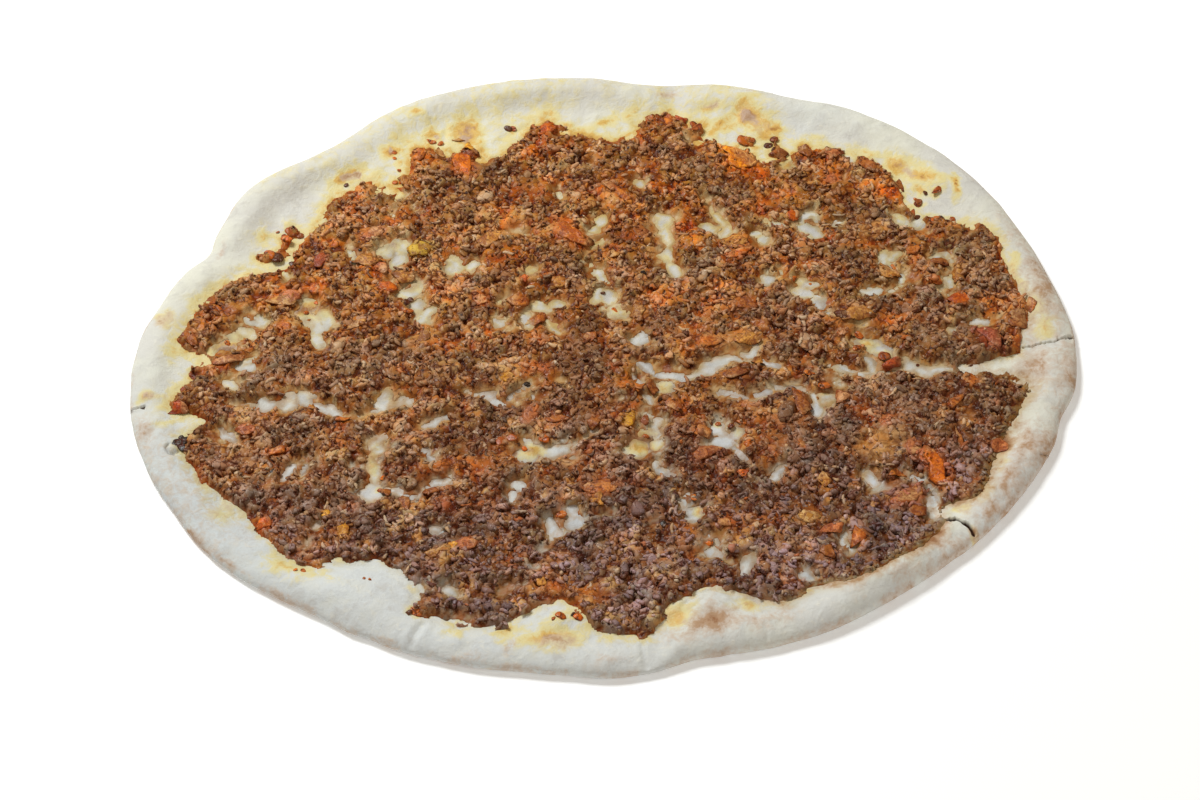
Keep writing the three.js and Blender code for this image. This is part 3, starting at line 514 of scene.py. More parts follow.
# faint dark lines where the crust is folded: points, half width, how dark
LINES = [
    ([(-142.6, -9.5), (-141.6, -7), (-140, -5)], 0.7, 0.55), ([(-144, -4.5), (-141.5, -3.2), (-140.6, -6)], 0.6, 0.5),
    ([(-139, -8), (-138, -12), (-137.6, -15)], 0.35, 0.45), ([(-141.8, -17.4), (-142.9, -19), (-142.2, -21.4), (-140.4, -22)], 0.35, 0.9),
    ([(119, -71), (122, -69), (126, -68.5)], 0.4, 0.45), ([(118, -76), (121, -73.5)], 0.5, 0.45),
    ([(112, -81), (109, -83)], 0.5, 0.4), ([(-88, 72), (-85, 77), (-82, 81)], 0.6, 0.22), ([(-76, 95), (-74, 99)], 0.4, 0.3),
    ([(-64, 102.4), (-66.5, 102.6)], 0.4, 0.3), ([(-88, -79), (-84.5, -82)], 0.5, 0.22), ([(27.5, -118), (28.5, -124)], 0.5, 0.35),
    ([(40, 113.5), (44, 113.2)], 0.7, 0.5), ([(34, -113), (38, -112)], 0.5, 0.3), ([(-75.6, -104.6), (-73, -100.4)], 0.35, 0.25),
    ([(6, -103), (11, -101), (16, -101)], 0.35, 0.3), ([(9, -105.6), (14, -104)], 0.3, 0.3),
]


def near_line(x, y, points):
    best = np.full(np.shape(x), 99.0)
    for (ax, ay), (bx, by) in zip(points[:-1], points[1:]):
        ux, uy = bx - ax, by - ay
        t = np.clip(((x - ax) * ux + (y - ay) * uy) / (ux * ux + uy * uy), 0, 1)
        best = np.minimum(best, np.hypot(x - ax - t * ux, y - ay - t * uy))
    return best


def jagged(x, y):
    return (
        x + 0.7 * noise2(x, y, 2.1, 41) + 0.3 * noise2(x, y, 0.8, 43),
        y + 0.7 * noise2(x, y, 2.1, 42) + 0.3 * noise2(x, y, 0.8, 44),
    )


def bread_form(x, y):
    """The bread's upper side as the CAD has it."""
    a, r = polar(x, y)
    inset = np.maximum(table(BREAD_TAB, a) - r, 0)
    rim = table(RIM_TAB, a)
    t = np.clip(1 - inset / RIM_CREST, 0, 1)
    outer = EDGE_HEIGHT + (rim - EDGE_HEIGHT) * np.sqrt(1 - t * t)
    t = (inset - RIM_CREST) / RIM_FALL
    inner = BASE_THICKNESS + (rim - BASE_THICKNESS) * np.exp(-t * t) * (1 - smooth(t - 2))
    z = np.where(inset < RIM_CREST, outer, inner)
    for s in BLISTERS:
        u, v = turned(x, y, s)
        q = u * u + v * v
        z = z + s[5] * smooth(inset / 6) * np.exp(-q * 1.6) * (1 - smooth(q - 1.4))
    return z, inset


def bread_top(x, y, fine=True):
    z, inset = bread_form(x, y)
    shore = smooth(inset / 4)
    z = z + shore * (0.42 * fbm2(x, y, 24, 3, 1) + 0.2 * fbm2(x, y, 8, 2, 2))
    for points, width, depth in CREASES:
        wx, wy = x + 1.2 * noise2(x, y, 9, 5), y + 1.2 * noise2(x, y, 9, 6)
        d = near_line(wx, wy, points)
        z = z - depth * np.exp(-((d / width) ** 2)) * smooth(inset / 1.5)
        z = z + 0.35 * depth * np.exp(-(((d - 2.1 * width) / width) ** 2)) * shore
    if fine:
        # small blisters and the fine skin of the dough
        near, who = cells(x, y, 8.5, 31)
        z = z + np.where(who > 0.5, 0.42, 0.0) * np.exp(-((near / (0.9 + 1.9 * who)) ** 2)) * shore
        near, who = cells(x, y, 4.2, 33)
        z = z - np.where(who > 0.72, 0.12, 0.0) * np.exp(-((near / 0.8) ** 2)) * shore
        z = z + 0.07 * fbm2(x, y, 2.8, 2, 7) * smooth(inset / 1.0)
        # one burst bubble at the left
        d = np.hypot(x + 140.6, y + 19.6)
        z = z + 0.9 * np.exp(-((d / 1.5) ** 2)) - 0.5 * np.exp(-(((d - 2.1) / 0.6) ** 2))
        jx, jy = jagged(x, y)
        for points, width, depth, dark in CRACKS:
            d = near_line(jx, jy, points)
            z = z - depth * np.exp(-((d / width) ** 4)) + 0.16 * np.exp(-(((d - 3 * width) / (1.6 * width)) ** 2))
        for points, width, dark in LINES:
            z = z - 0.45 * dark * np.exp(-((near_line(x, y, points) / width) ** 2))
    return z


def mince_inside(x, y, rough=True):
    """How far inside the mince a point is, in mm, negative on bare bread; and the same for the outer edge alone."""
    a, r = polar(x, y)
    outer = (table(MINCE_TAB, a) - r) * table(MINCE_COS, a)
    for s in LOBES:
        m = close_by(x, y, s, 6)
        if m.any():
            outer[m] = np.maximum(outer[m], -oval_distance(x[m], y[m], s))
    for s in INLETS:
        m = close_by(x, y, s, 6)
        if m.any():
            outer[m] = np.minimum(outer[m], oval_distance(x[m], y[m], s))
    f = outer.copy()
    px = x + 1.3 * noise2(x, y, 5.6, 55) + 0.6 * noise2(x, y, 2.3, 56)
    py = y + 1.3 * noise2(x, y, 5.6, 57) + 0.6 * noise2(x, y, 2.3, 58)
    for s in PATCHES:
        m = close_by(px, py, s, 6)
        if m.any():
            f[m] = np.minimum(f[m], oval_distance(px[m], py[m], s))
    for points, width in VEINS:
        at = np.array(points, float)
        m = (px > at[:, 0].min() - 4) & (px < at[:, 0].max() + 4) & (py > at[:, 1].min() - 4) & (py < at[:, 1].max() + 4)
        if m.any():
            narrow = width * (0.85 + 0.5 * noise2(px[m], py[m], 4.5, 54))
            f[m] = np.minimum(f[m], near_line(px[m], py[m], points) - narrow)
    for s in ISLANDS:
        m = close_by(px, py, s, 3)
        if m.any():
            f[m] = np.maximum(f[m], -oval_distance(px[m], py[m], s))
            outer[m] = np.maximum(outer[m], -oval_distance(px[m], py[m], s))
    if rough:
        wobble = 0.62 * noise2(x, y, 5.2, 51) + 0.6 * noise2(x, y, 2.5, 52) + 0.3 * noise2(x, y, 1.3, 53)
        f, outer = f + wobble, outer + wobble
    return f, outer


def soft_spots(x, y, rows, power=2.0):
    total = np.zeros(np.shape(x))
    for s in rows:
        m = close_by(x, y, s, 0.6 * max(s[2], s[3]))
        if m.any():
            u, v = turned(x[m], y[m], s)
            amount = s[5] if len(s) > 5 and not isinstance(s[5], str) else 1.0
            total[m] = np.maximum(total[m], amount * np.exp(-((u * u + v * v) ** (power / 2)) * 0.9))
    return total


# ------------------------------------------------------------------ meshes from arrays


def new_object(name, co, faces, colours=None):
    """co in mm about the middle; faces is a list of index arrays of shape (n, corners)."""
    me = bpy.data.meshes.new(name)
    co = (np.asarray(co, float) + MIDDLE) * MM
    me.vertices.add(len(co))
    me.vertices.foreach_set("co", co.astype(np.float32).ravel())
    loops = np.concatenate([f.ravel() for f in faces]).astype(np.int32)
    sizes = np.concatenate([np.full(len(f), f.shape[1]) for f in faces])
    starts = np.r_[0, np.cumsum(sizes)[:-1]].astype(np.int32)
    me.loops.add(len(loops))
    me.loops.foreach_set("vertex_index", loops)
    me.polygons.add(len(sizes))
    me.polygons.foreach_set("loop_start", starts)
    me.polygons.foreach_set("use_smooth", np.full(len(sizes), True))
    me.update(calc_edges=True)
    for key, rgba in (colours or {}).items():
        at = me.color_attributes.new(name=key, type="FLOAT_COLOR", domain="POINT")
        rgba = np.asarray(rgba, np.float32)
        if rgba.shape[1] == 3:
            rgba = np.c_[rgba, np.ones(len(rgba), np.float32)]
        at.data.foreach_set("color", rgba.ravel())
    ob = bpy.data.objects.new(name, me)
    bpy.context.scene.collection.objects.link(ob)
    return ob


def ball(divisions):
    bm = bmesh.new()
    bmesh.ops.create_icosphere(bm, subdivisions=divisions, radius=1.0)
    bm.verts.ensure_lookup_table()
    co = np.array([v.co[:] for v in bm.verts])
    tri = np.array([[v.index for v in f.verts] for f in bm.faces])
    bm.free()
    return co / np.linalg.norm(co, axis=1)[:, None], tri


def small_ball():
    """An octahedron with each face cut in four, blown up round: 18 vertices, 32 triangles."""
    co = [(1, 0, 0), (-1, 0, 0), (0, 1, 0), (0, -1, 0), (0, 0, 1), (0, 0, -1)]
    tri, seen = [], {}
    for a in (0, 1):
        for b in (2, 3):
            for c in (4, 5):
                tri.append((a, b, c) if (a == 0) ^ (b == 3) ^ (c == 5) else (a, c, b))

    def half(i, j):
        key = (min(i, j), max(i, j))
        if key not in seen:
            p = np.add(co[i], co[j]) / 2.0
            co.append(tuple(p / np.linalg.norm(p)))
            seen[key] = len(co) - 1
        return seen[key]

    out = []
    for a, b, c in tri:
        ab, bc, ca = half(a, b), half(b, c), half(c, a)
        out += [(a, ab, ca), (b, bc, ab), (c, ca, bc), (ab, bc, ca)]
    return np.array(co, float), np.array(out)


def rod(rings=5, sides=5):
    """A closed rod along X from -1 to 1, of radius about 1."""
    co, tri = [(-1.0, 0, 0)], []
    for k in range(rings):
        t = -0.8 + 1.6 * k / (rings - 1)
        for s in range(sides):
            a = 2 * math.pi * (s + 0.5 * (k % 2)) / sides
            co.append((t, math.cos(a), math.sin(a)))
    co.append((1.0, 0, 0))
    last = len(co) - 1
    for s in range(sides):
        n = (s + 1) % sides
        tri.append((0, 1 + n, 1 + s))
        top = 1 + (rings - 1) * sides
        tri.append((last, top + s, top + n))
        for k in range(rings - 1):
            a, b = 1 + k * sides + s, 1 + k * sides + n
            c, d = a + sides, b + sides
            if k % 2 == 0:
                tri += [(a, b, c), (b, d, c)]
            else:
                tri += [(a, b, d), (a, d, c)]
    return np.array(co), np.array(tri)


def turns(q):
    """Rotation matrices from unit quaternions of shape (n, 4)."""
    w, x, y, z = q.T
    return np.stack([
        np.stack([1 - 2 * (y * y + z * z), 2 * (x * y - z * w), 2 * (x * z + y * w)], -1),
        np.stack([2 * (x * y + z * w), 1 - 2 * (x * x + z * z), 2 * (y * z - x * w)], -1),
        np.stack([2 * (x * z - y * w), 2 * (y * z + x * w), 1 - 2 * (x * x + y * y)], -1),
    ], 1)


def random_turns(rng, n):
    q = rng.normal(size=(n, 4))
    return turns(q / np.linalg.norm(q, axis=1)[:, None])


def lying_turns(rng, angle, tilt):
    """Turned by angle about Z, then tipped a little."""
    n = len(angle)
    h = np.radians(angle) / 2
    spin = np.stack([np.cos(h), 0 * h, 0 * h, np.sin(h)], -1)
    way = rng.uniform(0, 2 * np.pi, n)
    t = np.radians(rng.normal(0, tilt, n)) / 2
    tip = np.stack([np.cos(t), np.sin(t) * np.cos(way), np.sin(t) * np.sin(way), 0 * t], -1)
    return turns(tip) @ turns(spin)


def scatter(name, shapes, tri, which, centre, size, turn, tint, underside_shade, grain, rng):
    """Joins many turned and scaled copies of a few shapes into one mesh, with a tint for each; the lower part of each
    copy is darkened as painted shade.
    """
    co = np.einsum("nij,nvj->nvi", turn, shapes[which] * size[:, None, :])
    up = co[..., 2] / np.maximum(np.abs(co[..., 2]).max(1)[:, None], 1e-6)
    # painted shade: the lower side of each copy is darker, most in green and blue
    low = (1 - smooth((up + 0.75) / 1.2))[..., None]
    colour = tint[:, None, :] * (1 + grain * rng.normal(size=up.shape))[..., None] * np.maximum(1 - low * underside_shade * np.array([0.48, 1.22, 1.80]), 0.03)
    co = co + centre[:, None, :]
    n, v = up.shape
    faces = (tri[None] + (np.arange(n) * v)[:, None, None]).reshape(-1, 3)
    return new_object(name, co.reshape(-1, 3), [faces], {"tint": np.clip(colour, 0, 1).reshape(-1, 3)})


# ------------------------------------------------------------------ materials


class Nodes:
    """A short way to write a node material."""

    def __init__(self, name):
        self.mat = bpy.data.materials.new(name)
        self.mat.use_nodes = True
        self.tree = self.mat.node_tree
        self.tree.nodes.clear()
        self.out = self.add("ShaderNodeOutputMaterial")
        self.shader = self.add("ShaderNodeBsdfPrincipled")
        self.link(self.shader.outputs[0], self.out.inputs[0])
        self.where = self.add("ShaderNodeTexCoord").outputs["Object"]

    def add(self, kind, **settings):
        node = self.tree.nodes.new(kind)
        for k, v in settings.items():
            setattr(node, k, v)
        return node

    def link(self, a, b):
        self.tree.links.new(a, b)

    def put(self, socket, value):
        if isinstance(value, bpy.types.NodeSocket):
            self.link(value, socket)
        else:
            socket.default_value = value

    def noise(self, size_mm, detail=2.0, rough=0.5, distortion=0.0, offset=0.0):
        node = self.add("ShaderNodeTexNoise")
        if offset:
            move = self.add("ShaderNodeVectorMath", operation="ADD")
            self.link(self.where, move.inputs[0])
            move.inputs[1].default_value = (offset, offset * 0.7, offset * 0.3)
            self.link(move.outputs[0], node.inputs["Vector"])
        else:
            self.link(self.where, node.inputs["Vector"])
        node.inputs["Scale"].default_value = 1000.0 / size_mm
        node.inputs["Detail"].default_value = detail
        node.inputs["Roughness"].default_value = rough
        node.inputs["Distortion"].default_value = distortion
        return node.outputs["Fac"]

    def remap(self, value, a, b, c=0.0, d=1.0, smoothed=True):
        node = self.add("ShaderNodeMapRange", interpolation_type="SMOOTHSTEP" if smoothed else "LINEAR")
        self.put(node.inputs["Value"], value)
        for k, v in zip(("From Min", "From Max", "To Min", "To Max"), (a, b, c, d)):
            node.inputs[k].default_value = v
        return node.outputs["Result"]

    def math(self, operation, a, b=0.0, clamp=False):
        node = self.add("ShaderNodeMath", operation=operation, use_clamp=clamp)
        self.put(node.inputs[0], a)
        self.put(node.inputs[1], b)
        return node.outputs[0]

    def blend(self, fac, a, b, kind="MIX"):
        node = self.add("ShaderNodeMix", data_type="RGBA", blend_type=kind, clamp_result=False)
        self.put(node.inputs["Factor"], fac)
        for socket, value in ((node.inputs[6], a), (node.inputs[7], b)):
            if isinstance(value, bpy.types.NodeSocket):
                self.link(value, socket)
            else:
                socket.default_value = (*[float(v) for v in value], 1.0)
        return node.outputs[2]

    def attribute(self, name):
        return self.add("ShaderNodeAttribute", attribute_name=name)

    def groove(self, value, width):
        """1 on the line where a noise passes its middle, 0 beside it."""
        return self.remap(self.math("ABSOLUTE", self.math("SUBTRACT", value, 0.5)), 0.0, width, 1.0, 0.0)

    def bump(self, height, distance_mm, strength=1.0, normal=None):
        node = self.add("ShaderNodeBump")
        self.link(height, node.inputs["Height"])
        node.inputs["Distance"].default_value = distance_mm * MM
        node.inputs["Strength"].default_value = strength
        if normal is not None:
            self.link(normal, node.inputs["Normal"])
        return node.outputs["Normal"]


def bread_material(name="baked_dough"):
    m = Nodes(name)
    masks = m.attribute("masks")
    split = m.add("ShaderNodeSeparateColor")
    m.link(masks.outputs["Color"], split.inputs[0])
    oil, toast, char = split.outputs[0], split.outputs[1], split.outputs[2]
    cool = masks.outputs["Alpha"]
    broad = m.noise(21, 3, 0.55)
    mid = m.noise(6.0, 4, 0.6, 0.4, offset=3.0)
    blot = m.noise(2.9, 4, 0.65, 0.6, offset=5.0)
    small = m.noise(1.1, 3, 0.6, offset=7.0)

    base = m.blend(m.remap(broad, 0.35, 0.65), DOUGH["cream"], DOUGH["grey"])
    # painted light: the cool mask turns the dough bluish grey where the cool front light falls
    base = m.blend(m.math("MULTIPLY", cool, m.remap(mid, 0.25, 0.7, 0.55, 1.0)), base, DOUGH["cool"])
    base = m.blend(m.remap(mid, 0.52, 0.72, 0.0, 0.6), base, DOUGH["shade"])
    base = m.blend(m.remap(blot, 0.54, 0.72, 0.0, 0.55), base, DOUGH["light"])
    base = m.blend(m.remap(small, 0.60, 0.78, 0.0, 0.22), base, DOUGH["fleck"])

    # oil soaks in with a soft, blotchy edge, and browns where it is strong
    drift = m.math("ADD", m.remap(mid, 0.3, 0.7, -0.2, 0.2, False), m.remap(blot, 0.3, 0.7, -0.22, 0.22, False))
    soaked = m.math("ADD", oil, m.math("MULTIPLY", drift, m.remap(oil, 0.0, 0.3)))
    base = m.blend(m.remap(soaked, 0.06, 0.5, 0.0, 0.85), base, DOUGH["oil"])
    base = m.blend(m.remap(soaked, 0.48, 0.85, 0.0, 0.85), base, DOUGH["gold"])
    base = m.blend(m.remap(soaked, 0.82, 1.2, 0.0, 0.9), base, DOUGH["amber"])

    speck = m.math("ADD", m.remap(blot, 0.3, 0.7, -0.26, 0.26, False), m.remap(small, 0.3, 0.7, -0.10, 0.10, False))
    baked = m.math("ADD", toast, m.math("MULTIPLY", speck, m.remap(toast, 0.0, 0.35)))
    base = m.blend(m.remap(baked, 0.08, 0.55, 0.0, 0.7), base, DOUGH["toast1"])
    base = m.blend(m.remap(baked, 0.45, 0.9, 0.0, 0.8), base, DOUGH["toast2"])
    base = m.blend(m.remap(baked, 0.90, 1.3, 0.0, 0.85), base, DOUGH["toast3"])
    base = m.blend(1.0, base, m.attribute("veil").outputs["Color"], "MULTIPLY")
    base = m.blend(m.remap(char, 0.15, 0.9, 0.0, 1.0), base, DOUGH["char"])
    m.link(base, m.shader.inputs["Base Color"])

    dry = m.remap(small, 0.3, 0.7, 0.66, 0.84, False)
    m.link(m.math("SUBTRACT", dry, m.math("MULTIPLY", m.remap(soaked, 0.2, 0.8), 0.26)), m.shader.inputs["Roughness"])
    m.shader.inputs["Specular IOR Level"].default_value = 0.35
    normal = m.bump(mid, 0.8, 0.7)
    normal = m.bump(blot, 0.4, 0.7, normal)
    normal = m.bump(small, 0.1, 0.6, normal)
    m.link(normal, m.shader.inputs["Normal"])
    return m.mat


DOUGH = {
    "cream": srgb(224, 221, 203), "grey": srgb(214, 210, 200), "cool": srgb(212, 216, 217), "shade": srgb(196, 192, 184),
    "light": srgb(232, 229, 216), "fleck": srgb(186, 178, 158), "oil": srgb(226, 210, 142), "gold": srgb(218, 172, 78),
    "amber": srgb(160, 96, 36), "toast1": srgb(202, 180, 160), "toast2": srgb(172, 130, 90), "toast3": srgb(140, 90, 48),
    "char": srgb(60, 31, 13),
}


def mince_material(name, wet=(0.34, 0.56), specular=0.15, size=2.6, pits=0.95):
    """Fused crumbs: cells in the solid with dark gaps, each with its own tone; the dark gaps and pits are painted shade
    and the pale flecks painted highlights. The tint's alpha says how strong.
    """
    m = Nodes(name)
    held = m.attribute("tint")
    tint, strength = held.outputs["Color"], held.outputs["Alpha"]
    push = m.add("ShaderNodeTexNoise")
    m.link(m.where, push.inputs["Vector"])
    push.inputs["Scale"].default_value = 1000.0 / 2.4
    push.inputs["Detail"].default_value = 1.0
    shift = m.add("ShaderNodeVectorMath", operation="MULTIPLY_ADD")
    m.link(push.outputs["Color"], shift.inputs[0])
    shift.inputs[1].default_value = (0.0013, 0.0013, 0.0013)
    m.link(m.where, shift.inputs[2])

    def voronoi(feature, mm):
        node = m.add("ShaderNodeTexVoronoi", feature=feature)
        m.link(shift.outputs[0], node.inputs["Vector"])
        node.inputs["Scale"].default_value = 1000.0 / mm
        node.inputs["Randomness"].default_value = 1.0
        return node

    gap = voronoi("DISTANCE_TO_EDGE", size).outputs["Distance"]
    own = m.add("ShaderNodeSeparateColor")
    m.link(voronoi("F1", size).outputs["Color"], own.inputs[0])
    fine = m.noise(0.85, 2, 0.55, 0.6, offset=4.0)
    grit = m.noise(0.42, 2, 0.6, offset=8.0)
    patch = m.noise(3.4, 2, 0.5, offset=9.0)
    hole = voronoi("F1", 1.9)
    where = m.add("ShaderNodeSeparateColor")
    m.link(hole.outputs["Color"], where.inputs[0])
    pit = m.math("MULTIPLY", m.remap(hole.outputs["Distance"], 0.16, 0.34, 1.0, 0.0), m.remap(where.outputs[0], 0.50, 0.62))
    c = m.blend(1.0, tint, m.blend(own.outputs[0], (0.99, 0.85, 0.66), (1.05, 1.15, 1.26)), "MULTIPLY")
    c = m.blend(1.0, c, m.blend(m.remap(fine, 0.3, 0.7, 0.0, 1.0, False), (0.99, 0.90, 0.76), (1.02, 1.10, 1.19)), "MULTIPLY")
    # painted highlight: pale flecks where the fine noise is high
    c = m.blend(m.remap(fine, 0.58, 0.72, 0.0, 0.42), c, srgb(214, 190, 170))
    wide = m.remap(patch, 0.48, 0.66, 0.01, 0.24)
    crack = m.math("SUBTRACT", 1.0, m.math("DIVIDE", gap, wide), clamp=True)
    # painted shade: dark red-brown in the gaps between cells and in the pits
    c = m.blend(m.math("MULTIPLY", crack, 0.9), c, srgb(84, 27, 2))
    c = m.blend(m.math("MULTIPLY", pit, pits), c, srgb(50, 15, 1))
    c = m.blend(m.remap(grit, 0.33, 0.25, 0.0, 0.3), c, srgb(60, 24, 2))
    c = m.blend(strength, m.blend(1.0, tint, m.blend(fine, (0.92, 0.80, 0.62), (1.08, 1.18, 1.34)), "MULTIPLY"), c)
    m.link(c, m.shader.inputs["Base Color"])
    m.link(m.remap(fine, 0.3, 0.7, wet[1], wet[0], False), m.shader.inputs["Roughness"])
    m.shader.inputs["Specular IOR Level"].default_value = specular
    height = m.math("SUBTRACT", m.math("MULTIPLY", own.outputs[2], 0.4), m.math("MAXIMUM", crack, pit))
    height = m.math("MULTIPLY", height, strength)
    normal = m.bump(height, 0.26, 0.75)
    normal = m.bump(patch, 0.4, 0.75, normal)
    normal = m.bump(fine, 0.09, 0.7, normal)
    normal = m.bump(grit, 0.02, 0.7, normal)
    m.link(normal, m.shader.inputs["Normal"])
    return m.mat


def vegetable_material(name, roughness=0.36, streak=2.4):
    m = Nodes(name)
    tint = m.attribute("tint").outputs["Color"]
    flesh = m.noise(streak, 3, 0.6, 1.2)
    fine = m.noise(0.9, 2, 0.55, 0.8, offset=4.0)
    grit = m.noise(0.45, 2, 0.6, offset=8.0)
    c = m.blend(1.0, tint, m.blend(m.remap(flesh, 0.37, 0.64, 0.0, 1.0), (0.62, 0.46, 0.36), (1.20, 1.36, 1.50)), "MULTIPLY")
    c = m.blend(m.remap(fine, 0.56, 0.74, 0.0, 0.45), c, srgb(204, 146, 84))
    c = m.blend(m.remap(fine, 0.44, 0.32, 0.0, 0.75), c, srgb(104, 50, 18))
    c = m.blend(m.remap(grit, 0.36, 0.27, 0.0, 0.4), c, srgb(56, 28, 12))
    m.link(c, m.shader.inputs["Base Color"])
    m.link(m.remap(fine, 0.3, 0.7, roughness + 0.18, roughness, False), m.shader.inputs["Roughness"])
    m.shader.inputs["Specular IOR Level"].default_value = 0.3
    normal = m.bump(flesh, 0.4, 0.7)
    normal = m.bump(fine, 0.26, 0.8, normal)
    m.link(normal, m.shader.inputs["Normal"])
    return m.mat


def finish_piece(ob, material, slot, *nodes):
    ob.data.materials.append(material)
    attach(ob, "root")
    if nodes:
        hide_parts(*nodes)
    return ob


# ------------------------------------------------------------------ stains and browning on the bread

# x, y, length, width, turn, strength
OIL_SPOTS = [
    (-31, 103, 15, 9, 88, 0.95), (-42, 105, 8, 6, 60, 0.8), (-57, 100, 7, 6, 0, 0.75), (-73, 89, 12, 6, 38, 0.8),
    (-15, 104, 4, 4, 0, 0.8), (-2, 110, 6, 5, 90, 0.6), (-46, 114, 3.5, 3, 0, 0.75), (-50, 104, 12, 12, 0, 0.35),
    (18, 102, 10, 5, 30, 0.6), (27, 106, 10, 5, 10, 0.45), (52, 102, 9, 4, 10, 0.7), (67, 95, 17, 9, -52, 0.95),
    (72, 88, 10, 7, -30, 0.7), (55, 93, 14, 5, 30, 0.7), (84, 80, 18, 5, -18, 0.6), (102, 72, 12, 4, -38, 0.6),
    (110, 64, 14, 9, -45, 0.8), (118, 58, 12, 7, -50, 0.85), (116, 51, 6, 5, 0, 0.8), (126.5, 51, 9, 2.4, 80, 1.0),
    (-120, 21, 13, 10, 5, 0.9), (-138, 34, 8, 5, 100, 0.6), (-138, 22, 8, 7, 90, 0.6), (-129, 38, 14, 5, 42, 0.3),
    (-146, 3, 8, 4, 10, 0.75), (-142, -9, 8, 4, 20, 0.5), (-109, -71.5, 17, 9, -28, 0.5), (-100, -77, 16, 4, -36, 0.3),
    (-128, -48, 9, 8, -50, 0.45), (-130, -40, 6, 12, 20, 0.3), (-104, 68, 10, 8, 40, 0.4), (-99, 70, 6, 5, 0, 0.4),
    (-36, -110, 16, 8, 0, 0.8), (-48, -106, 8, 9, 75, 0.5), (-25, -108, 8, 5, -20, 0.45), (-62, -104, 10, 4, -12, 0.35),
    (3, -108, 10, 9, 30, 0.7), (24, -108, 8, 5, 0, 0.5), (45, -106, 10, 3, 0, 0.4),
    (139, -5, 8, 11, 0, 0.75), (141, -14, 8, 8, 0, 0.6), (138, 10, 4, 16, 0, 0.6), (133, -40, 7, 10, 0, 0.2),
    (119, -60, 9, 7, 50, 0.3), (113, -69, 8, 7, 40, 0.25), (104, -79, 10, 5, 40, 0.6), (98, -83, 8, 4, 40, 0.4),
    (108, 42, 10, 5, 120, 0.35), (114, 38, 7, 5, 160, 0.3), (83, -11, 12, 9, 0, 0.55), (87, -6, 10, 4, 0, 0.6),
    (-93, 33, 13, 10, 0, 0.95), (-60, 52, 8, 9, 0, 0.3), (-15, 22, 8, 8, 100, 0.5), (30, 50, 8, 8, 0, 0.35),
    (37, -40, 6, 8, 0, 0.5), (5, -42, 10, 8, 0, 0.7), (-31, -37, 8, 8, 0, 0.7), (-36, -34, 8, 6, 0, 0.6),
    (19, -67, 6, 8, 0, 0.8), (16, -18, 7, 9, 0, 0.5), (98, 22, 8, 5, 78, 0.35), (68, 19, 5, 6, 0, 0.3),
    (-80, -33, 6, 14, 0, 0.5), (7, -35, 7, 7, 0, 0.45), (26, 37, 6, 10, 0, 0.35), (-60, 37, 10, 6, 0, 0.4),
    (116, 20, 6, 8, 0, 0.35), (106, 36, 12, 6, -20, 0.35), (74, 71, 5, 10, 0, 0.5), (-53, 73, 6, 6, 0, 0.4),
    (-128, -10, 14, 5, -10, 0.45), (11, -48, 6, 8, 0, 0.5), (46, 58, 6, 10, 30, 0.35), (98.6, -92.6, 5, 2.6, -58, 1.0), (114.4, -61.6, 9, 5, 60, 1.0),
]
TOAST_SPOTS = [
    (116, -60.5, 8, 5, 60, 1.35), (123, -62, 13, 7, 55, 0.85), (113.5, -76, 12, 5, 48, 0.72), (104.5, -86, 10, 4.5, 40, 0.6),
    (119.5, -69, 8, 3.2, 50, 0.6), (98, -92.5, 4, 4, 0, 0.8),
    (146, 2, 30, 9, 92, 0.65), (144, 22, 22, 7, 106, 0.45), (144, -34, 24, 12, 74, 0.6), (139, -52, 16, 9, 62, 0.3),
    (128, -66, 22, 16, 52, 0.62), (116, -81, 24, 11, 45, 0.56), (103, -93, 18, 9, 38, 0.5), (90, -101, 18, 8, 28, 0.4),
    (135, -30, 14, 8, 60, 0.6), (137, -12, 10, 8, 90, 0.4), (124, -58, 14, 8, 60, 0.55), (80, -104, 14, 6, 16, 0.35),
    (14, -113, 13, 9, 8, 1.15), (30, -114, 16, 8, 4, 0.40), (2, -116, 12, 7, 0, 0.35), (-34, -112, 9, 5, 0, 0.75),
    (-48, -112, 7, 5, 20, 0.4), (-20, -121, 14, 5, 0, 0.35), (40, 111, 7, 4, -6, 0.65), (69, 106, 4, 2.5, -10, 0.7),
    (-60, -114, 12, 5, -14, 0.35), (18, 118, 8, 3, 0, 0.25), (-139, 34, 5, 5, 0, 0.7), (-150, -10, 9, 6, 75, 0.4),
    (54, 103, 7, 3, 0, 0.5), (-31, 104, 8, 5, 88, 0.5), (67, 94, 10, 4, -60, 0.7), (114, 61, 8, 4, -45, 0.55),
    (-145, 3, 5, 3, 10, 0.5), (133, 58, 8, 4, 120, 0.35), (-119, 62, 9, 2.4, 62, 0.45), (139, 5, 5, 10, 90, 0.3),
    (-139.6, -50, 24, 1.5, 116, 0.7), (-129, -65, 14, 1.3, 130, 0.55),
]
CHAR_SPOTS = [
    (-104, -77, 1.2, 1.0, 0, 0.25), (28.5, -123.5, 1.6, 1.6, 0, 0.4), (-107, -75, 1.6, 1.0, 0, 0.2),
    (-142.6, -4.6, 2.2, 1.2, 30, 0.45), (42, 113.8, 4.0, 0.8, -5, 0.3), (-152.6, -0.6, 2.0, 1.6, 0, 0.6),
    (99.5, -95, 1.6, 1.4, 0, 0.5),
]


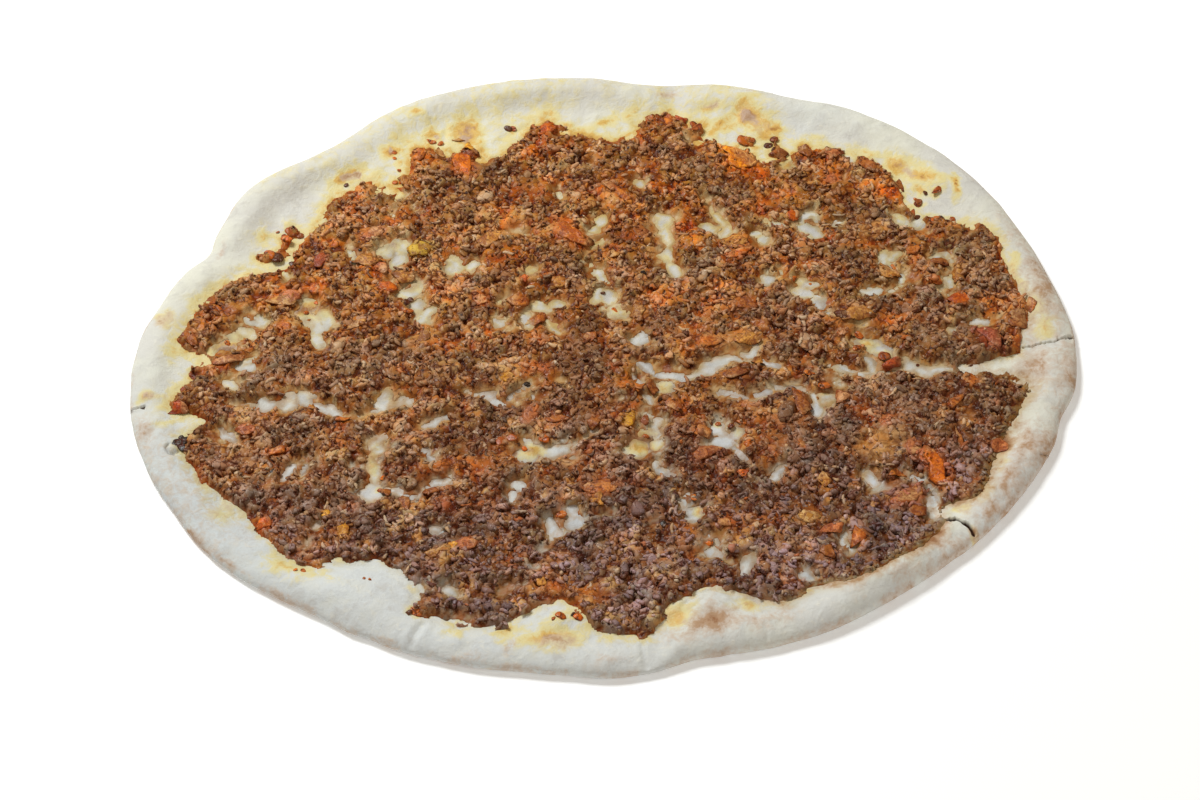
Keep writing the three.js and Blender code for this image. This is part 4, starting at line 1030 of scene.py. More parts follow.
def bread_masks(x, y, inset, under):
    """Oil, toast, char and coolness at each point of the bread; the coolness is painted cool light, bluish on the near
    side.
    """
    wx, wy = x + 1.6 * fbm2(x, y, 6, 2, 61), y + 1.6 * fbm2(x, y, 6, 2, 62)
    f, outer = mince_inside(x, y)
    a, _ = polar(x, y)

    def bearing(at, spread):
        return np.exp(-((((a - at) + 180) % 360 - 180) / spread) ** 2)

    # oil runs out of the mince: much at the far side and the left, little at the lower left
    strength = 0.30 + 0.42 * bearing(62, 42) + 0.30 * bearing(128, 30) + 0.30 * bearing(172, 16) \
        - 0.05 * bearing(-42, 30) - 0.30 * bearing(-134, 18)
    inner = outer > 2
    out = np.maximum(-f, 0)
    wide = 0.75 + 0.9 * smooth(0.5 + fbm2(x, y, 5, 2, 59))
    edge = np.exp(-((out / (2.2 * wide)) ** 2)) * (1 - 0.9 * bearing(-44, 36))
    back = 0.35 + 0.65 * smooth((y + 25) / 55)
    halo = np.exp(-out / 4.5)
    oil = np.where(inner, 0.22 * back, 0.60 * strength) * halo * (0.75 + 0.5 * fbm2(x, y, 9, 2, 63))
    oil = oil + edge * np.where(inner, 0.0, 0.26 * (0.6 + strength))
    soak = np.where(inner, np.exp(-((out / (1.5 + 0.9 * noise2(x, y, 6, 69))) ** 2)), 0)
    oil = oil + 0.28 * back * soak
    oil = oil + 0.10 * bearing(105, 30) + 0.05 * bearing(-178, 14)
    oil = np.maximum(oil, 1.25 * soft_spots(wx, wy, OIL_SPOTS, 1.5))
    for s in LOOSE:
        if s[3][0] > 100 and s[2] > 0.7:
            m = close_by(x, y, (s[0], s[1], 4 * s[2], 4 * s[2]), 2)
            if m.any():
                d = np.hypot(x[m] - s[0], y[m] - s[1])
                oil[m] = np.maximum(oil[m], 0.62 * np.exp(-((d / (1.7 * s[2])) ** 2)))
    stain = np.zeros(len(x))
    for s in LOOSE:
        if s[3][0] >= 176 and s[2] > 0.7:
            m = close_by(x, y, (s[0], s[1], 4 * s[2], 4 * s[2]), 2)
            if m.any():
                stain[m] = np.maximum(stain[m], np.exp(-((np.hypot(wx[m] - s[0], wy[m] - s[1]) / (1.1 * s[2])) ** 4)))
    oil = oil + 0.10 * smooth((y - 70) / 30) * (1 - smooth((x - 60) / 30)) * (1 + fbm2(x, y, 16, 2, 64))
    toast = soft_spots(wx, wy, TOAST_SPOTS, 1.5) + 0.12 * bearing(-165, 14) + (0.50 - 0.2 * back) * soak + 0.8 * stain
    toast = toast + np.where(inner, 0, 0.13 * bearing(-48, 34) + 0.06 * bearing(5, 20)) * (1 + 1.9 * fbm2(x, y, 6, 3, 60) + 1.5 * bearing(-42, 30) * fbm2(x, y, 2.6, 2, 53))
    # a brown band beside the mince on the near right rim: grease, and painted shade below the mince's edge
    toast = toast + np.where(inner, 0, 0.62 * np.exp(-((out / 2.6) ** 2)) * bearing(-46, 34) * (1 + 0.5 * fbm2(x, y, 7, 2, 57)))
    toast = toast + np.where(inner, 0, 0.16 * bearing(-165, 18))
    # the crust's edge is browned, most on the near left and the right
    lip = np.exp(-((np.maximum(inset, 0) / 1.5) ** 2))
    low = 0.26 + 0.10 * bearing(-150, 26) + 0.22 * bearing(-25, 40)
    toast = np.maximum(toast, lip * low * (1 + 0.8 * noise2(x, y, 4, 65)))
    marks = smooth((fbm2(wx, wy, 12, 3, 66) + 0.02) * 2.0)
    toast = np.where(under, 0.20 + 0.50 * marks + 0.30 * fbm2(x, y, 30, 2, 67), toast)
    oil = np.where(under, 0.0, oil)
    char = soft_spots(x, y, CHAR_SPOTS, 2.2)
    jx, jy = jagged(x, y)
    for points, width, depth, dark in CRACKS:
        char = np.maximum(char, dark * np.exp(-((near_line(jx, jy, points) / (width * 1.0)) ** 4)))
    for points, width, dark in LINES:
        char = np.maximum(char, 0.6 * dark * np.exp(-((near_line(x, y, points) / width) ** 2)))
    char = np.where(under, 0.30 * smooth((fbm2(x, y, 11, 2, 68) - 0.38) * 4), char)
    # painted light: a cool, bluish tone where the cool front light falls, on the near side, the near right and the left
    # end, and bluer inside the patches towards the near side
    cool = 0.2 + 0.8 * smooth((-y - 10) / 60) * smooth((-x + 60) / 120) + 0.4 * np.exp(-(((x - 84) / 26) ** 2) - ((y - 90) / 12) ** 2)
    cool = cool + 0.35 * bearing(-52, 34) + 0.6 * bearing(-165, 16)
    cool = np.where(inner, 0.45 + 0.4 * smooth(-y / 45) + 0.3 * noise2(x, y, 18, 70), cool)
    cool = np.where(under, 0.30 + 0.15 * noise2(x, y, 22, 52), cool)
    return np.clip(np.stack([oil, toast, char, np.clip(cool, 0, 1)], -1), 0, 1.5)


def bread_veil(x, y):
    """A multiplier for the dough's colour: the bare patches are greyer in the middle and greasy brown at their edges;
    on the rim beside the mince a brown band is partly painted shade, and the rim is painted lighter at the near right
    and darker at the left end.
    """
    f, outer = mince_inside(x, y)
    a, _ = polar(x, y)

    def bearing(at, spread):
        return np.exp(-((((a - at) + 180) % 360 - 180) / spread) ** 2)[:, None]

    d = np.maximum(-f, 0)
    blotch = fbm2(x, y, 4.5, 3, 55)
    near = np.exp(-((d / (1.35 + 0.7 * blotch)) ** 1.5)) * np.clip(0.8 + 0.7 * blotch, 0, 1)
    ones = np.ones((len(x), 3))
    tone = mix(ones * [0.67, 0.60, 0.53], ones * [0.80, 0.62, 0.34], smooth(0.5 + 1.1 * noise2(x, y, 15, 58)))
    patch = np.array([0.86, 0.86, 0.89]) * mix(ones, tone, near) * (1 + 0.10 * fbm2(x, y, 2.6, 2, 56))[:, None]
    right = smooth((x - 10) / 30) * smooth((-y - 20) / 20)
    # beside the mince the rim gets a yellow-brown band, widest at the near right: grease, and painted shade of the
    # mince's edge
    rim = mix(ones, ones * [0.80, 0.72, 0.55], (0.55 + 0.4 * right) * np.exp(-((d / (1.5 + 1.8 * right)) ** 1.5)) * np.clip(0.8 + 0.8 * blotch, 0, 1))
    # painted light: the rim is darker at the left end, lighter and bluer at the near right, and a little lighter at the
    # far side
    rim = rim * (1 - bearing(-165, 17) * [0.11, 0.08, 0.06] + bearing(-44, 19) * [0.11, 0.12, 0.15] + 0.03 * bearing(40, 22))
    return mix(rim, patch, smooth((outer - 1.0) / 2.0))


# ------------------------------------------------------------------ the bread


def refine(bm, chosen_at, shortest):
    """Splits the edges longer than shortest for which chosen_at(x, y) holds at the middle."""
    ends = np.array([(*e.verts[0].co[:2], *e.verts[1].co[:2]) for e in bm.edges])
    long = np.hypot(ends[:, 0] - ends[:, 2], ends[:, 1] - ends[:, 3]) > shortest
    where = np.nonzero(long)[0]
    mx, my = (ends[where, 0] + ends[where, 2]) / 2, (ends[where, 1] + ends[where, 3]) / 2
    take = np.zeros(len(ends), bool)
    take[where[chosen_at(mx, my)]] = True
    edges = [e for e, t in zip(bm.edges, take) if t]
    if edges:
        bmesh.ops.subdivide_edges(bm, edges=edges, cuts=1)
        bmesh.ops.triangulate(bm, faces=[f for f in bm.faces if len(f.verts) > 3])


def build_bread():
    sectors, rows, counts = 864, [], []

    def ring(count, radius_of):
        a = np.arange(count) / count * 360
        r = radius_of(a)
        rows.append(np.stack([r * np.cos(np.radians(a)), r * np.sin(np.radians(a))], -1))
        counts.append(count)

    insets = [0, 0.22, 0.55, 1.0, 1.6] + list(np.arange(2.4, 28.01, 0.95))
    for s in insets:
        ring(sectors, lambda a, s=s: table(BREAD_TAB, a) - s)
    t, count = 1.0, sectors // 2
    while t > 0.05:
        t -= 2.6 / 108 * (sectors / 4 / count if count < sectors // 4 else 1)
        if t <= 0.03:
            break
        ring(count, lambda a, t=t: (table(BREAD_TAB, a) - insets[-1]) * t)
        if t < {sectors // 2: 0.7, sectors // 4: 0.4, sectors // 8: 0.2}.get(count, -1):
            count //= 2
    flat = np.concatenate(rows)
    base = np.r_[0, np.cumsum(counts)]
    tris = []
    for k in range(len(counts) - 1):
        n, m, p, q = counts[k], counts[k + 1], base[k], base[k + 1]
        i = np.arange(m)
        j = (i + 1) % m
        if n == m:
            tris += [np.stack([p + i, p + j, q + j], -1), np.stack([p + i, q + j, q + i], -1)]
        else:
            o0, o1, o2 = p + 2 * i, p + 2 * i + 1, p + (2 * i + 2) % n
            tris += [np.stack([o0, o1, q + i], -1), np.stack([o1, q + j, q + i], -1), np.stack([o1, o2, q + j], -1)]
    centre = len(flat)
    flat = np.r_[flat, [[0, 0]]]
    i = np.arange(counts[-1])
    tris.append(np.stack([base[-2] + i, base[-2] + (i + 1) % counts[-1], np.full(len(i), centre)], -1))

    me = bpy.data.meshes.new("tmp_bread")
    me.from_pydata(np.c_[flat, np.zeros(len(flat))].tolist(), [], [tuple(f) for t3 in tris for f in t3.tolist()])
    bm = bmesh.new()
    bm.from_mesh(me)
    bpy.data.meshes.remove(me)

    def bare(reach):
        def chosen(x, y):
            f, outer = mince_inside(x, y)
            return (f < reach) & (outer > -1.5)
        return chosen

    def by_cracks(reach):
        def chosen(x, y):
            near = np.full(len(x), 99.0)
            for points, *_ in CRACKS:
                near = np.minimum(near, near_line(x, y, points))
            near = np.minimum(near, np.hypot(x + 140.6, y + 19.6) - 1.5)
            return near < reach
        return chosen

    refine(bm, bare(3.5), 1.9)
    refine(bm, bare(1.6), 1.15)
    refine(bm, bare(0.9), 0.95)
    refine(bm, by_cracks(2.2), 0.3)
    refine(bm, by_cracks(1.3), 0.2)
    top = len(bm.verts)
    # round the edge under and close the underside
    loop = [e for e in bm.edges if e.is_boundary]
    flat = [2.4, 5.5, 9, 12.5, 16, 20, 24, 28, 32, 36, 40, 44, 48, 53, 58, 63, 68, 73, 78, 83, 88, 93, 98, 103]
    for inset, z in [(0.12, 1.0), (0.55, 0.42), (1.3, 0.1)] + [(k, 0.0) for k in flat]:
        made = bmesh.ops.extrude_edge_only(bm, edges=loop)["geom"]
        verts = [g for g in made if isinstance(g, bmesh.types.BMVert)]
        loop = [g for g in made if isinstance(g, bmesh.types.BMEdge)]
        p = np.array([v.co[:2] for v in verts])
        a, _ = polar(p[:, 0], p[:, 1])
        r = table(BREAD_TAB, a) - inset
        for v, aa, rr in zip(verts, np.radians(a), r):
            v.co = (rr * math.cos(aa), rr * math.sin(aa), z)
        if inset in (9, 24, 48):
            # fewer faces on the flat bottom
            step = {9: 2, 24: 2, 48: 2}[inset]
            loop = thin_out(bm, loop, step)
    bmesh.ops.holes_fill(bm, edges=loop, sides=0)
    bmesh.ops.recalc_face_normals(bm, faces=bm.faces)
    bm.verts.index_update()
    co = np.array([v.co[:] for v in bm.verts])
    x, y = co[:top, 0], co[:top, 1]
    co[:top, 2] = bread_top(x, y)
    me = bpy.data.meshes.new("bread_surface")
    bm.to_mesh(me)
    bm.free()
    a, r = polar(co[:, 0], co[:, 1])
    inset = table(BREAD_TAB, a) - r
    under = np.arange(len(co)) >= top
    # the lowest of the top must not cross the rounded underside
    co[:top, 2] = np.maximum(co[:top, 2], 0.9 + 0.5 * smooth(inset[:top] / 2))
    masks = bread_masks(co[:, 0], co[:, 1], inset, under & (inset > 0.9))
    me.vertices.foreach_set("co", ((co + MIDDLE) * MM).astype(np.float32).ravel())
    me.polygons.foreach_set("use_smooth", np.full(len(me.polygons), True))
    at = me.color_attributes.new(name="masks", type="FLOAT_COLOR", domain="POINT")
    at.data.foreach_set("color", masks.astype(np.float32).ravel())
    veil = bread_veil(co[:, 0], co[:, 1])
    veil[under] = 1.0
    at = me.color_attributes.new(name="veil", type="FLOAT_COLOR", domain="POINT")
    at.data.foreach_set("color", np.c_[veil, np.ones(len(veil))].astype(np.float32).ravel())
    me.update()
    ob = bpy.data.objects.new("bread_surface", me)
    bpy.context.scene.collection.objects.link(ob)
    return ob


def thin_out(bm, loop, step):
    """Merges neighbouring vertices of an edge loop in pairs and returns the loop that is left."""
    verts = {v for e in loop for v in e.verts}
    order = sorted(verts, key=lambda v: math.atan2(v.co.y, v.co.x))
    targets = {}
    for k in range(0, len(order) - len(order) % step, step):
        for j in range(1, step):
            targets[order[k + j]] = order[k]
    bmesh.ops.weld_verts(bm, targetmap=targets)
    return [e for e in bm.edges if e.is_boundary]


# ------------------------------------------------------------------ the mince

FRIED = srgb(150, 84, 38)
DARK = srgb(62, 32, 16)
RAMP = np.array([srgb(*c) for c in (
    (148, 116, 88), (152, 112, 74), (156, 108, 58), (161, 103, 42), (167, 97, 26), (170, 88, 10))])
# painted shade: the dark red-brown laid into the mince's grooves
GROOVE_SHADE = srgb(66, 26, 5)
# how the colour of the mince drifts from the near side to the far side: y, red, green, blue
NEAR_FAR = [(-90, -50, -10, 40, 85), (0.86, 0.77, 1.01, 1.16, 1.14), (0.86, 0.67, 0.87, 1.03, 0.96), (1.20, 0.76, 0.82, 0.81, 0.63)]
MEAT = {
    "tan": srgb(206, 158, 104), "pale": srgb(216, 184, 148), "gold": srgb(190, 142, 78), "haze": srgb(198, 164, 108),
    "olive": srgb(172, 126, 58),
}


def zone_weights(x, y):
    wx, wy = x + 2.2 * fbm2(x, y, 7, 2, 74), y + 2.2 * fbm2(x, y, 7, 2, 75)
    out = {}
    for kind in "RMDT":
        out[kind] = soft_spots(wx, wy, [s for s in ZONES if s[5] == kind], 2.4)
    return out


def meat_colour(x, y, zones):
    """The colour of the mince at a place: warm, tan, greyish and dark clods, browner at the far side."""
    wx, wy = x + 1.3 * noise2(x, y, 4.1, 76), y + 1.3 * noise2(x, y, 4.1, 77)
    _, _, _, big = clods(wx, wy, 9.5, 500, 1.5)
    _, _, _, mid = clods(wx, wy, 4.6, 520, 0.7)
    _, _, _, low = clods(wx, wy, 2.6, 540, 0.3)
    far = np.clip(smooth((y + 100) / 180) + 0.12 * noise2(x, y, 30, 71), 0, 1)
    warm = -0.72 + 0.60 * far + 0.60 * zones["R"] - 0.75 * zones["M"] + 1.4 * (big[0] - 0.5) + 0.8 * (mid[0] - 0.5)
    warm = warm + 0.35 * noise2(x, y, 17, 94)
    at = np.clip((warm + 1.0) * 2.0, 0, len(RAMP) - 1.001)
    k = at.astype(int)
    c = mix(RAMP[k], RAMP[k + 1], at - k)
    light = 0.60 * (big[2] - 0.5) + 0.6 * (mid[1] - 0.5) + 0.3 * (low[1] - 0.5) + 0.12 + 0.05 * far + 0.24 * noise2(x, y, 24, 96)
    rosy = 2.0 * (mid[1] - 0.5) * (0.5 + 0.5 * (big[2] > 0.4)) + 0.5 * noise2(x, y, 3.0, 100) + 0.25 * zones["R"]
    c = c * np.exp(rosy[:, None] * np.array([0.06, -0.05, -0.03]))
    tone = np.stack([np.interp(y, NEAR_FAR[0], NEAR_FAR[k]) for k in (1, 2, 3)], -1)
    c = c * np.exp(light)[:, None] * tone
    tan = 0.75 * zones["T"] + 0.8 * smooth((mid[2] - 0.72) / 0.14) * (1 - zones["M"])
    c = mix(c, np.broadcast_to(MEAT["tan"], c.shape), np.clip(tan, 0, 0.85))
    dark = 0.55 * zones["D"] + 0.5 * smooth((0.2 - mid[2]) / 0.12)
    return mix(c, np.broadcast_to(srgb(98, 54, 26), c.shape), np.clip(dark, 0, 0.8))


def smear(x, y, c, size=1.0, amount=0.9):
    """Colour from the vegetable pieces spreads into the mince beside them."""
    wx, wy = x + 0.8 * noise2(x, y, 2.2, 78), y + 0.8 * noise2(x, y, 2.2, 79)
    for s in FLAKES:
        m = close_by(wx, wy, s, 0.5 * max(s[2], s[3]))
        if m.any():
            u, v = turned(wx[m], wy[m], (s[0], s[1], s[2] * size, s[3] * size, s[4]))
            w = amount * np.exp(-0.9 * (u * u + v * v) ** 1.6)
            c[m] = mix(c[m], np.broadcast_to(srgb(*s[5]) * [1.12, 1.12, 0.9], (m.sum(), 3)), w)
    for row in PIECES:
        pts = np.array(row[5], float) + [row[2], row[3]]
        mid, reach = pts.mean(0), np.abs(pts - pts.mean(0)).max()
        m = (np.abs(wx - mid[0]) < reach + 3) & (np.abs(wy - mid[1]) < reach + 3)
        if m.any():
            near = near_line(wx[m], wy[m], list(pts) + [pts[0]])
            near = np.where(in_polygon(wx[m], wy[m], pts), 0, near)
            c[m] = mix(c[m], np.broadcast_to(srgb(*row[4]), (m.sum(), 3)), 0.55 * np.exp(-((near / 1.6) ** 2)))
    return c


def film_width(x, y, f, outer):
    """Beside some bare patches the mince thins out to a greasy film."""
    wide = 0.5 + 3.2 * smooth(0.42 + 0.9 * fbm2(x, y, 8, 2, 97))
    return (1 - smooth(f / wide)) * smooth((outer - 2.5) / 2)


def mince_level(x, y, rough=True):
    """The upper side of the mince mat: ground, height, inside distances, zones, and how deep in a groove a point is."""
    f, outer = mince_inside(x, y)
    zones = zone_weights(x, y)
    ground = bread_top(x, y, False)
    thin = soft_spots(x, y, THIN, 2.4)
    near_right = smooth((x - 20) / 30) * smooth((-y - 20) / 20) * smooth((6 - outer) / 3)
    body = smooth(f / (2.9 - 1.2 * smooth(3 - outer) + 2.4 * near_right)) ** 0.75
    depth = 1.85 + 0.5 * fbm2(x, y, 19, 2, 87)
    calm = np.clip(0.6 * zones["R"] + 0.95 * zones["T"], 0, 0.92)
    calm = np.maximum(calm, 0.85 * soft_spots(x, y, [s[:5] for s in FLAKES], 3.0))
    film = film_width(x, y, f, outer)
    wx = x + 1.2 * noise2(x, y, 3.7, 82) + 0.4 * noise2(x, y, 1.5, 90)
    wy = y + 1.2 * noise2(x, y, 3.7, 83) + 0.4 * noise2(x, y, 1.5, 91)
    edge1, own1, slope1 = torn(wx, wy, 4.6, 600)
    edge2, own2, slope2 = torn(wx, wy, 2.2, 800)
    shown = smooth((fbm2(x, y, 5, 2, 84) + 0.1) / 0.5)
    crack1 = np.exp(-((edge1 / 0.62) ** 2)) * (0.15 + 0.85 * shown)
    crack2 = np.exp(-((edge2 / 0.42) ** 2)) * smooth((fbm2(x, y, 3.4, 2, 85) + 0.25) / 0.6)
    near, who = cells(wx, wy, 3.4, 88)
    pit = np.where(who > 0.55, 1.0, 0.0) * np.exp(-((near / (0.40 + 0.5 * who)) ** 2)) * smooth((fbm2(x, y, 11, 2, 92) + 0.25) * 2.2)
    cleft = np.zeros(len(x))
    for points, width in CLEFTS:
        d = near_line(x + 0.5 * noise2(x, y, 2.0, 41), y + 0.5 * noise2(x, y, 2.0, 42), points)
        cleft = np.maximum(cleft, np.exp(-((d / width) ** 2)))
    relief = 0.75 * (own1[0] - 0.5) * smooth(edge1 / 1.1) + 0.75 * (own2[0] - 0.5) * smooth(edge2 / 0.8)
    relief = relief + 0.3 * slope1 + 0.4 * slope2 + 0.45 * smooth(edge2 / 1.1) - 1.2 * crack1 - 0.8 * crack2
    relief = (1 - calm) * relief + 0.40 * fbm2(x, y, 6, 2, 86) - 0.9 * pit * (1 - 0.6 * calm) - 1.1 * cleft
    thin = np.maximum(thin, 0.9 * film)
    level = ground + 0.12 + body * (1 - 0.75 * thin) * np.maximum(depth + relief, 0.22)
    groove = np.clip(np.maximum(crack1, 0.8 * crack2), 0, 1) * (1 - 0.7 * calm)
    groove = np.clip(np.maximum(groove, np.maximum(pit * (1 - 0.5 * calm), cleft)), 0, 1)
    return ground, level, f, outer, zones, groove, thin, relief


def edge_colours(c, f, outer, thin, x, y):
    """Golden and thin at the edges of the bare patches, fried at the outer edge, and olive brown at the near right
    outer edge, partly as painted shade.
    """
    patchy = fbm2(x, y, 4.5, 2, 93)
    veil = smooth(0.45 + 1.3 * patchy)
    near = smooth((-y - 5) / 45)
    at_edge = 1 - smooth(f / (1.9 + 2.2 * veil))
    rim = 1 - smooth((outer - 0.4) / 2.6)
    inner_tone = mix(np.broadcast_to(MEAT["olive"], c.shape), np.broadcast_to(MEAT["haze"], c.shape), veil)
    inner_tone = mix(inner_tone, np.broadcast_to(srgb(172, 158, 134), c.shape), 0.65 * near)
    c = mix(c, inner_tone, (0.30 + 0.45 * veil) * at_edge * (1 - rim))
    milk = mix(np.broadcast_to(srgb(200, 180, 140), c.shape), np.broadcast_to(srgb(188, 180, 164), c.shape), near)
    c = mix(c, milk, 0.85 * veil * (1 - smooth(f / 1.4)) * (1 - rim))
    fried = np.clip(smooth((y + 12) / 50) + smooth((-x - 118) / 14), 0, 1)
    c = mix(c, np.broadcast_to(FRIED, c.shape), 0.62 * fried * rim * (0.65 + 0.5 * patchy))
    # painted shade and juice: the outer edge of the mince goes olive brown at the near right
    near_right = smooth((x - 20) / 30) * smooth((-y - 20) / 20)
    c = mix(c, np.broadcast_to(srgb(138, 114, 72), c.shape), 0.8 * near_right * rim)
    film = mix(mix(np.broadcast_to(srgb(198, 172, 128), c.shape), np.broadcast_to(srgb(178, 170, 156), c.shape), 0.85 * near), np.broadcast_to(srgb(154, 94, 38), c.shape),
               smooth(0.45 + 1.1 * noise2(x, y, 2.3, 95) + 0.7 * noise2(x, y, 1.1, 98)))
    return mix(c, film, np.clip(0.85 * thin * (1 + 0.4 * noise2(x, y, 3.1, 99)), 0, 0.9))


def build_mince_core():
    h = 0.72
    gx, gy = np.arange(-146, 146, h), np.arange(-121, 112, h)
    X, Y = np.meshgrid(gx, gy)
    shape = X.shape
    x, y = X.ravel() + 0.18 * noise2(X.ravel(), Y.ravel(), 1.1, 80), Y.ravel() + 0.18 * noise2(X.ravel(), Y.ravel(), 1.1, 81)
    f = mince_inside(x, y)[0]
    inside = (f > 0).reshape(shape)
    cell = inside[:-1, :-1] | inside[1:, :-1] | inside[:-1, 1:] | inside[1:, 1:]
    # drop specks: a cell needs two others beside it
    busy = cell[:-2, 1:-1].astype(int) + cell[2:, 1:-1] + cell[1:-1, :-2] + cell[1:-1, 2:]
    cell[1:-1, 1:-1] &= busy > 1
    j, i = np.nonzero(cell)
    w = shape[1]
    quad = np.stack([j * w + i, j * w + i + 1, (j + 1) * w + i + 1, (j + 1) * w + i], -1)
    used, quad = np.unique(quad, return_inverse=True)
    quad = quad.reshape(-1, 4)
    x, y, f = x[used], y[used], f[used]
    # pull the outer vertices onto the outline
    out = f < 0
    e = 0.05
    sx_ = (mince_inside(x[out] + e, y[out])[0] - f[out]) / e
    sy_ = (mince_inside(x[out], y[out] + e)[0] - f[out]) / e
    g2 = np.maximum(sx_**2 + sy_**2, 0.25)
    sx, sy = -f[out] * sx_ / g2, -f[out] * sy_ / g2
    k = np.minimum(1, 0.8 * h / np.maximum(np.hypot(sx, sy), 1e-6))
    x[out] += sx * k
    y[out] += sy * k
    ground, z, f, outer, zones, groove, thin, relief = mince_level(x, y)

    # edges used once are the outline: hang a skirt from it and close the bottom
    e4 = np.concatenate([quad[:, [k, (k + 1) % 4]] for k in range(4)])
    _, first, times = np.unique(np.sort(e4, 1), axis=0, return_index=True, return_counts=True)
    rim = e4[first[times == 1]]
    ring = np.unique(rim)
    z[ring] = ground[ring] + 0.06
    low = np.full(len(x), -1)
    low[ring] = len(x) + np.arange(len(ring))
    x2, y2 = np.r_[x, x[ring]], np.r_[y, y[ring]]
    z2 = np.r_[z, np.full(len(ring), 0.5)]
    skirt = np.stack([rim[:, 1], rim[:, 0], low[rim[:, 0]], low[rim[:, 1]]], -1)

    c = smear(x, y, meat_colour(x, y, zones) * [1.06, 0.99, 0.84])
    c = edge_colours(c, f, outer, thin, x, y)
    # painted shade and painted highlight: the hollows of the relief are darker and redder, its rises paler and bluer
    deep = np.clip(0.1 - relief, 0, 1.2) * (1 - 0.7 * thin)
    high = np.clip(relief - 0.25, 0, 0.6) * (1 - 0.7 * thin)
    c = c * np.exp(-deep[:, None] * np.array([0.26, 0.98, 2.2]) + high[:, None] * np.array([-0.06, 0.34, 0.85]))
    # painted shade: grooves, pits and clefts take the dark red-brown
    c = mix(c, np.broadcast_to(GROOVE_SHADE * [0.65, 0.42, 0.3], c.shape), 0.95 * groove * smooth(f / 1.5) * (1 - 0.6 * thin))
    strength = (1 - 0.75 * thin) * (0.25 + 0.75 * smooth(f / 1.8)) * (1 - 0.45 * np.clip(zones["R"] * 0.5 + zones["T"], 0, 1))
    c = np.c_[c, strength]
    # painted shade: the skirt round the outline is darker than the top
    c = np.r_[c, c[ring] * [0.7, 0.7, 0.7, 1]]
    ob = new_object("mince_mat", np.c_[x2, y2, z2], [quad, skirt], {"tint": np.clip(c, 0, 1)})

    bm = bmesh.new()
    bm.from_mesh(ob.data)
    bmesh.ops.triangle_fill(bm, edges=[e for e in bm.edges if e.is_boundary], use_beauty=False, normal=(0, 0, -1))
    bm.to_mesh(ob.data)
    bm.free()
    return ob


def lumpy(base, count, seed, rough, cuts, rng):
    """Shapes like torn crumbs: a ball made uneven and cut by a few planes."""
    out = []
    for k in range(count):
        r = 1 + rough * noise3(base + 13.7 * k + seed, 0.95, seed + k) + 0.5 * rough * noise3(base + 13.7 * k, 0.5, seed + 50 + k)
        p = base * r[:, None]
        for _ in range(cuts):
            n = rng.normal(size=3)
            n /= np.linalg.norm(n)
            over = np.maximum(p @ n - rng.uniform(0.45, 0.8), 0)
            p = p - 0.9 * over[:, None] * n
        out.append(p)
    return np.array(out)


def bent_rods(base, count, seed, rng):
    out = []
    for k in range(count):
        t = base[:, 0]
        fat = np.maximum(1 - t * t, 0.0) ** 0.35 * (1 + 0.3 * noise3(base + 9.1 * k, 0.8, seed + k))
        bend, twist = rng.uniform(-1.1, 1.1), rng.uniform(-0.5, 0.5)
        y = base[:, 1] * fat + bend * (t * t - 0.4) + 0.5 * np.sin(2.4 * t + k)
        z = base[:, 2] * fat + twist * (t * t - 0.4)
        out.append(np.stack([t, y, z], -1))
    return np.array(out)


